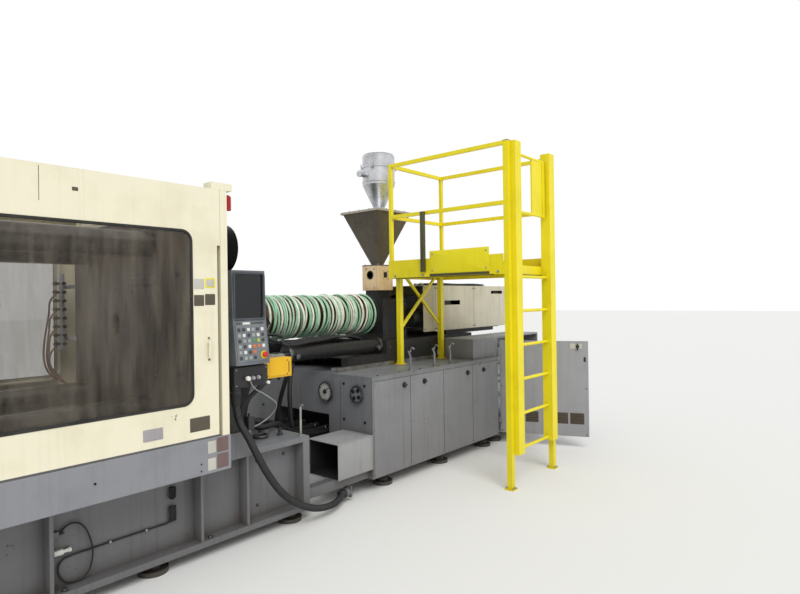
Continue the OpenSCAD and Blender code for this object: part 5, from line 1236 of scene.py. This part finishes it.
class MACHINE_OT_platform(bpy.types.Operator):
    """Bare sign plate, chequer pattern, post caps, anchor bolts and gate fittings of the platform"""

    bl_idname = "machine.platform"
    bl_label = "Platform"

    def execute(self, context):
        # Sign, left bare
        piece("sign_plate", plate((PLATFORM_X, -1.320, 2.022), 0.664, 0.216, -X, 0.002, 0.006), "sign_yellow")
        piece("sign_bolts", bolts(0.008, every(PLATFORM_X - 0.002, (-1.620, -1.020), (1.945, 2.100)), -X),
              "zinc_steel")
        # Dark olive strip along the sign's lower edge: a painted shadow under the sign
        piece("sign_shadow_strip", plate((PLATFORM_X, -1.320, 1.899), 0.664, 0.022, -X, 0.0035, 0.003), "olive_plate_and_shadow")
        # Chequer pattern: lozenges that lean one way and the other by turns
        pitch = 0.042
        gx, gy = np.meshgrid(np.arange(2.575, 3.41, pitch), np.arange(-1.75, -0.50, pitch))
        spots = np.stack([gx.ravel(), gy.ravel(), np.full(gx.size, 1.9660)], -1)
        odd = (np.round(gx / pitch) + np.round(gy / pitch)).ravel() % 2 == 0
        levels = ((0.030, 0.008, 0.0), (0.027, 0.006, 0.0012), (0.022, 0.002, 0.0017))
        lozenge = surface(np.array([np.insert(outline(w, h, h / 2.1, 2), 2, z, axis=1)
                                    for w, h, z in levels]))
        tread = [copies(turned_by(lozenge, turn, Z), spots[rows])
                 for turn, rows in ((np.pi / 4, odd), (-np.pi / 4, ~odd))]
        piece("deck_chequer", merged(*tread), "safety_paint")
        # Dark bar, bolts, post caps, lip and the gate's hinges
        bar = box((2.4945, -0.9415, 1.932), (2.5305, -0.8985, 2.516), 0.003)
        piece("platform_dark_bar", bar, "olive_plate_and_shadow")
        anchors = merged(bolts(0.011, every((2.551, 2.585, 3.358, 3.392), (-1.852, -1.786), 0.012), Z),
                         bolts(0.012, every(PLATFORM_X, (-1.74, -0.90, -0.55), 1.905), -X),
                         bolts(0.010, every((2.64, 3.30), -1.794, (1.90, 1.94)), -Y))
        piece("platform_bolts", anchors, "zinc_steel")
        caps = [box((x, -1.846, 3.045), (x + 0.054, -1.792, 3.050)) for x in (2.541, 3.348)]
        piece("platform_caps", merged(*caps), "latch_black")
        lip = merged(box((2.526, -1.700, 1.876), (2.531, -0.55, 1.884)),
                     box((2.600, -1.7985, 1.876), (3.343, -1.7935, 1.884)))
        piece("platform_lip", lip, "olive_plate_and_shadow")
        collar = turned([(0, 0.011), (0.002, 0.013), (0.012, 0.013), (0.014, 0.011)], (2.718, -1.8343, 0),
                        Z, 16)
        hinges = copies(collar, [(0, 0, 2.4605), (0, 0, 2.9765)])
        piece("gate_hinges", hinges, "zinc_steel")
        return {"FINISHED"}


class MACHINE_OT_cabinet(bpy.types.Operator):
    """Louvre grilles, latch plates, wiring and ducts of the power cabinet, and fittings of the tank"""

    bl_idname = "machine.cabinet"
    bl_label = "Cabinet and tank"

    def execute(self, context):
        fit = context.scene.machine_fittings

        def leaf(*shapes):
            points, faces = merged(*shapes)
            return turned_by((points + HINGE, faces), -DOOR_OPEN, Z, HINGE)

        def on_door(x, z, width, height, depth, corner, edge, y=0.0):
            return pad((x, y, z), X, Z, width, height, depth, corner, edge)

        # Door, drawn along X from its hinge and then turned open
        louvres = ((0.200, 0.080), (0.300, 0.130), (0.620, 0.130), (0.780, 0.140))
        grilles = [box((x - 0.004, -0.0012, 0.266), (x + w + 0.004, 0.0, 0.386), 0.0004) for x, w in louvres]
        piece("door_grilles", leaf(*grilles), "plate_umber", "cabinet_door")
        hoods = [on_door(x + w / 2, 0.284 + 0.020 * k, w + 0.004, 0.005, 0.004, 0.002, 0.0012, -0.001)
                 for x, w in louvres for k in range(6)]
        piece("door_louvres", leaf(*hoods), "plate_brown", "cabinet_door")
        plates = [on_door(x, 1.125, 0.060, 0.060, 0.002, 0.006, 0.0008) for x in (0.815, 0.880)]
        plates += [on_door(0.120, 1.100, 0.080, 0.050, 0.0015, 0.004, 0.0006)]
        piece("door_plates", leaf(*plates), "plate_blank", "cabinet_door")
        lock = leaf(on_door(0.938, 0.98, 0.022, 0.050, 0.004, 0.004, 0.001),
                    screws(fit.screw, every((0.03, 0.95), 0.0, (0.155, 0.66))))
        piece("door_lock", lock, "latch_black", "cabinet_door")
        seal = leaf(window_rim(0.040, 0.165, 0.945, 1.145, 0.01, 0.0252, 1,
                               [(-0.008, -0.002), (-0.006, 0.004), (0.006, 0.004), (0.008, -0.002)]))
        piece("door_seal", seal, "seal_rubber", "cabinet_door")
        # Ducts and wires inside the cabinet, and its screws
        ducts = [box((3.95, -0.560, z), (4.78, -0.525, z + 0.045)) for z in (0.36, 0.62, 0.88)]
        piece("cabinet_ducts", merged(*ducts), "contactor_grey")
        rng = np.random.default_rng(3)
        wires = []
        for x in np.linspace(4.0, 4.74, 16):
            lift = rng.choice([0.36, 0.62])
            wires.append([(x, -0.566, lift + 0.045), (x + rng.uniform(-0.01, 0.01), -0.585, lift + 0.09),
                          (x + rng.uniform(-0.02, 0.02), -0.580, lift + 0.16), (x, -0.568, lift + 0.215)])
        piece("cabinet_wires", hoses(wires, 0.0028, 8, 0.01), "grey_cable")
        heads = merged(screws(fit.screw, every((3.43, 3.80), -0.900, (1.03, 1.19))),
                       screws(fit.screw, every(CABINET_X, 0.920, (0.17, 0.89)), Y),
                       screws(fit.screw, every(CABINET_X, (-0.87, -0.53), 1.220), Z))
        piece("cabinet_screws", heads, "zinc_steel")
        # Tank, motor and their hoses
        cap = np.array([4.62, 0.10, 0.940])
        breather = [(0, 0.030), (0.05, 0.030), (0.055, 0.020), (0.055, 0.0)]
        tank = merged(turned([(0, 0.045), (0.004, 0.048), (0.030, 0.048), (0.034, 0.040), (0.034, 0.0)], cap),
                      turned(breather, cap + (-0.18, 0.02, 0), Z, 24),
                      box((4.898, 0.30, 0.45), (4.912, 0.34, 0.75)),
                      screws(fit.screw, every(4.898, (-0.42, 0.86), (0.18, 0.88)), X))
        piece("tank_fittings", tank, "nut_steel")
        fin = turned([(0, 0.150), (0.001, 0.157), (0.008, 0.157), (0.009, 0.150)], (4.14, 0.690, 1.140),
                     X, 48)
        piece("motor_fins", copies(fin, row((0, 0, 0), 0.022 * X, 14)), "tank_paint")
        pipes = [[(4.10, 0.40, 0.940), (4.10, 0.40, 1.02), (4.02, 0.36, 1.08), (3.90, 0.30, 1.07),
                  (3.86, 0.28, 0.98), (3.86, 0.28, 0.945)],
                 [(4.30, 0.36, 0.940), (4.30, 0.36, 1.00), (4.30, 0.24, 1.05), (4.30, 0.12, 1.00),
                  (4.30, 0.12, 0.945)]]
        piece("tank_hoses", hoses(pipes, 0.018, 14), "hose_plastic")
        piece("tank_ferrules", ferrules(pipes, 0.018), "zinc_steel")
        return {"FINISHED"}


CLASSES = [StageSettings, CordSettings, FittingSettings, MACHINE_OT_stage, MACHINE_OT_finishes,
           MACHINE_OT_cords, MACHINE_OT_doors, MACHINE_OT_mould_area, MACHINE_OT_bed, MACHINE_OT_panel,
           MACHINE_OT_barrel, MACHINE_OT_base, MACHINE_OT_feed, MACHINE_OT_platform, MACHINE_OT_cabinet]
STEPS = ["stage", "finishes", "cords", "doors", "mould_area", "bed", "panel", "barrel", "base", "feed",
         "platform", "cabinet"]


class MACHINE_PT_looks(bpy.types.Panel):
    """Buttons for the machine's steps"""

    bl_label = "Machine looks"
    bl_idname = "MACHINE_PT_looks"
    bl_space_type = "VIEW_3D"
    bl_region_type = "UI"
    bl_category = "Machine"

    def draw(self, context):
        for step in STEPS:
            self.layout.operator("machine." + step)


def register():
    for cls in [*CLASSES, MACHINE_PT_looks]:
        bpy.utils.register_class(cls)
    bpy.types.Scene.machine_stage = PointerProperty(type=StageSettings)
    bpy.types.Scene.machine_cords = PointerProperty(type=CordSettings)
    bpy.types.Scene.machine_fittings = PointerProperty(type=FittingSettings)


def unregister():
    del bpy.types.Scene.machine_fittings, bpy.types.Scene.machine_cords, bpy.types.Scene.machine_stage
    for cls in reversed([*CLASSES, MACHINE_PT_looks]):
        bpy.utils.unregister_class(cls)


def main():
    """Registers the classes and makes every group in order."""
    register()
    for step in STEPS:
        getattr(bpy.ops.machine, step)()


if __name__ == "__main__":
    main()
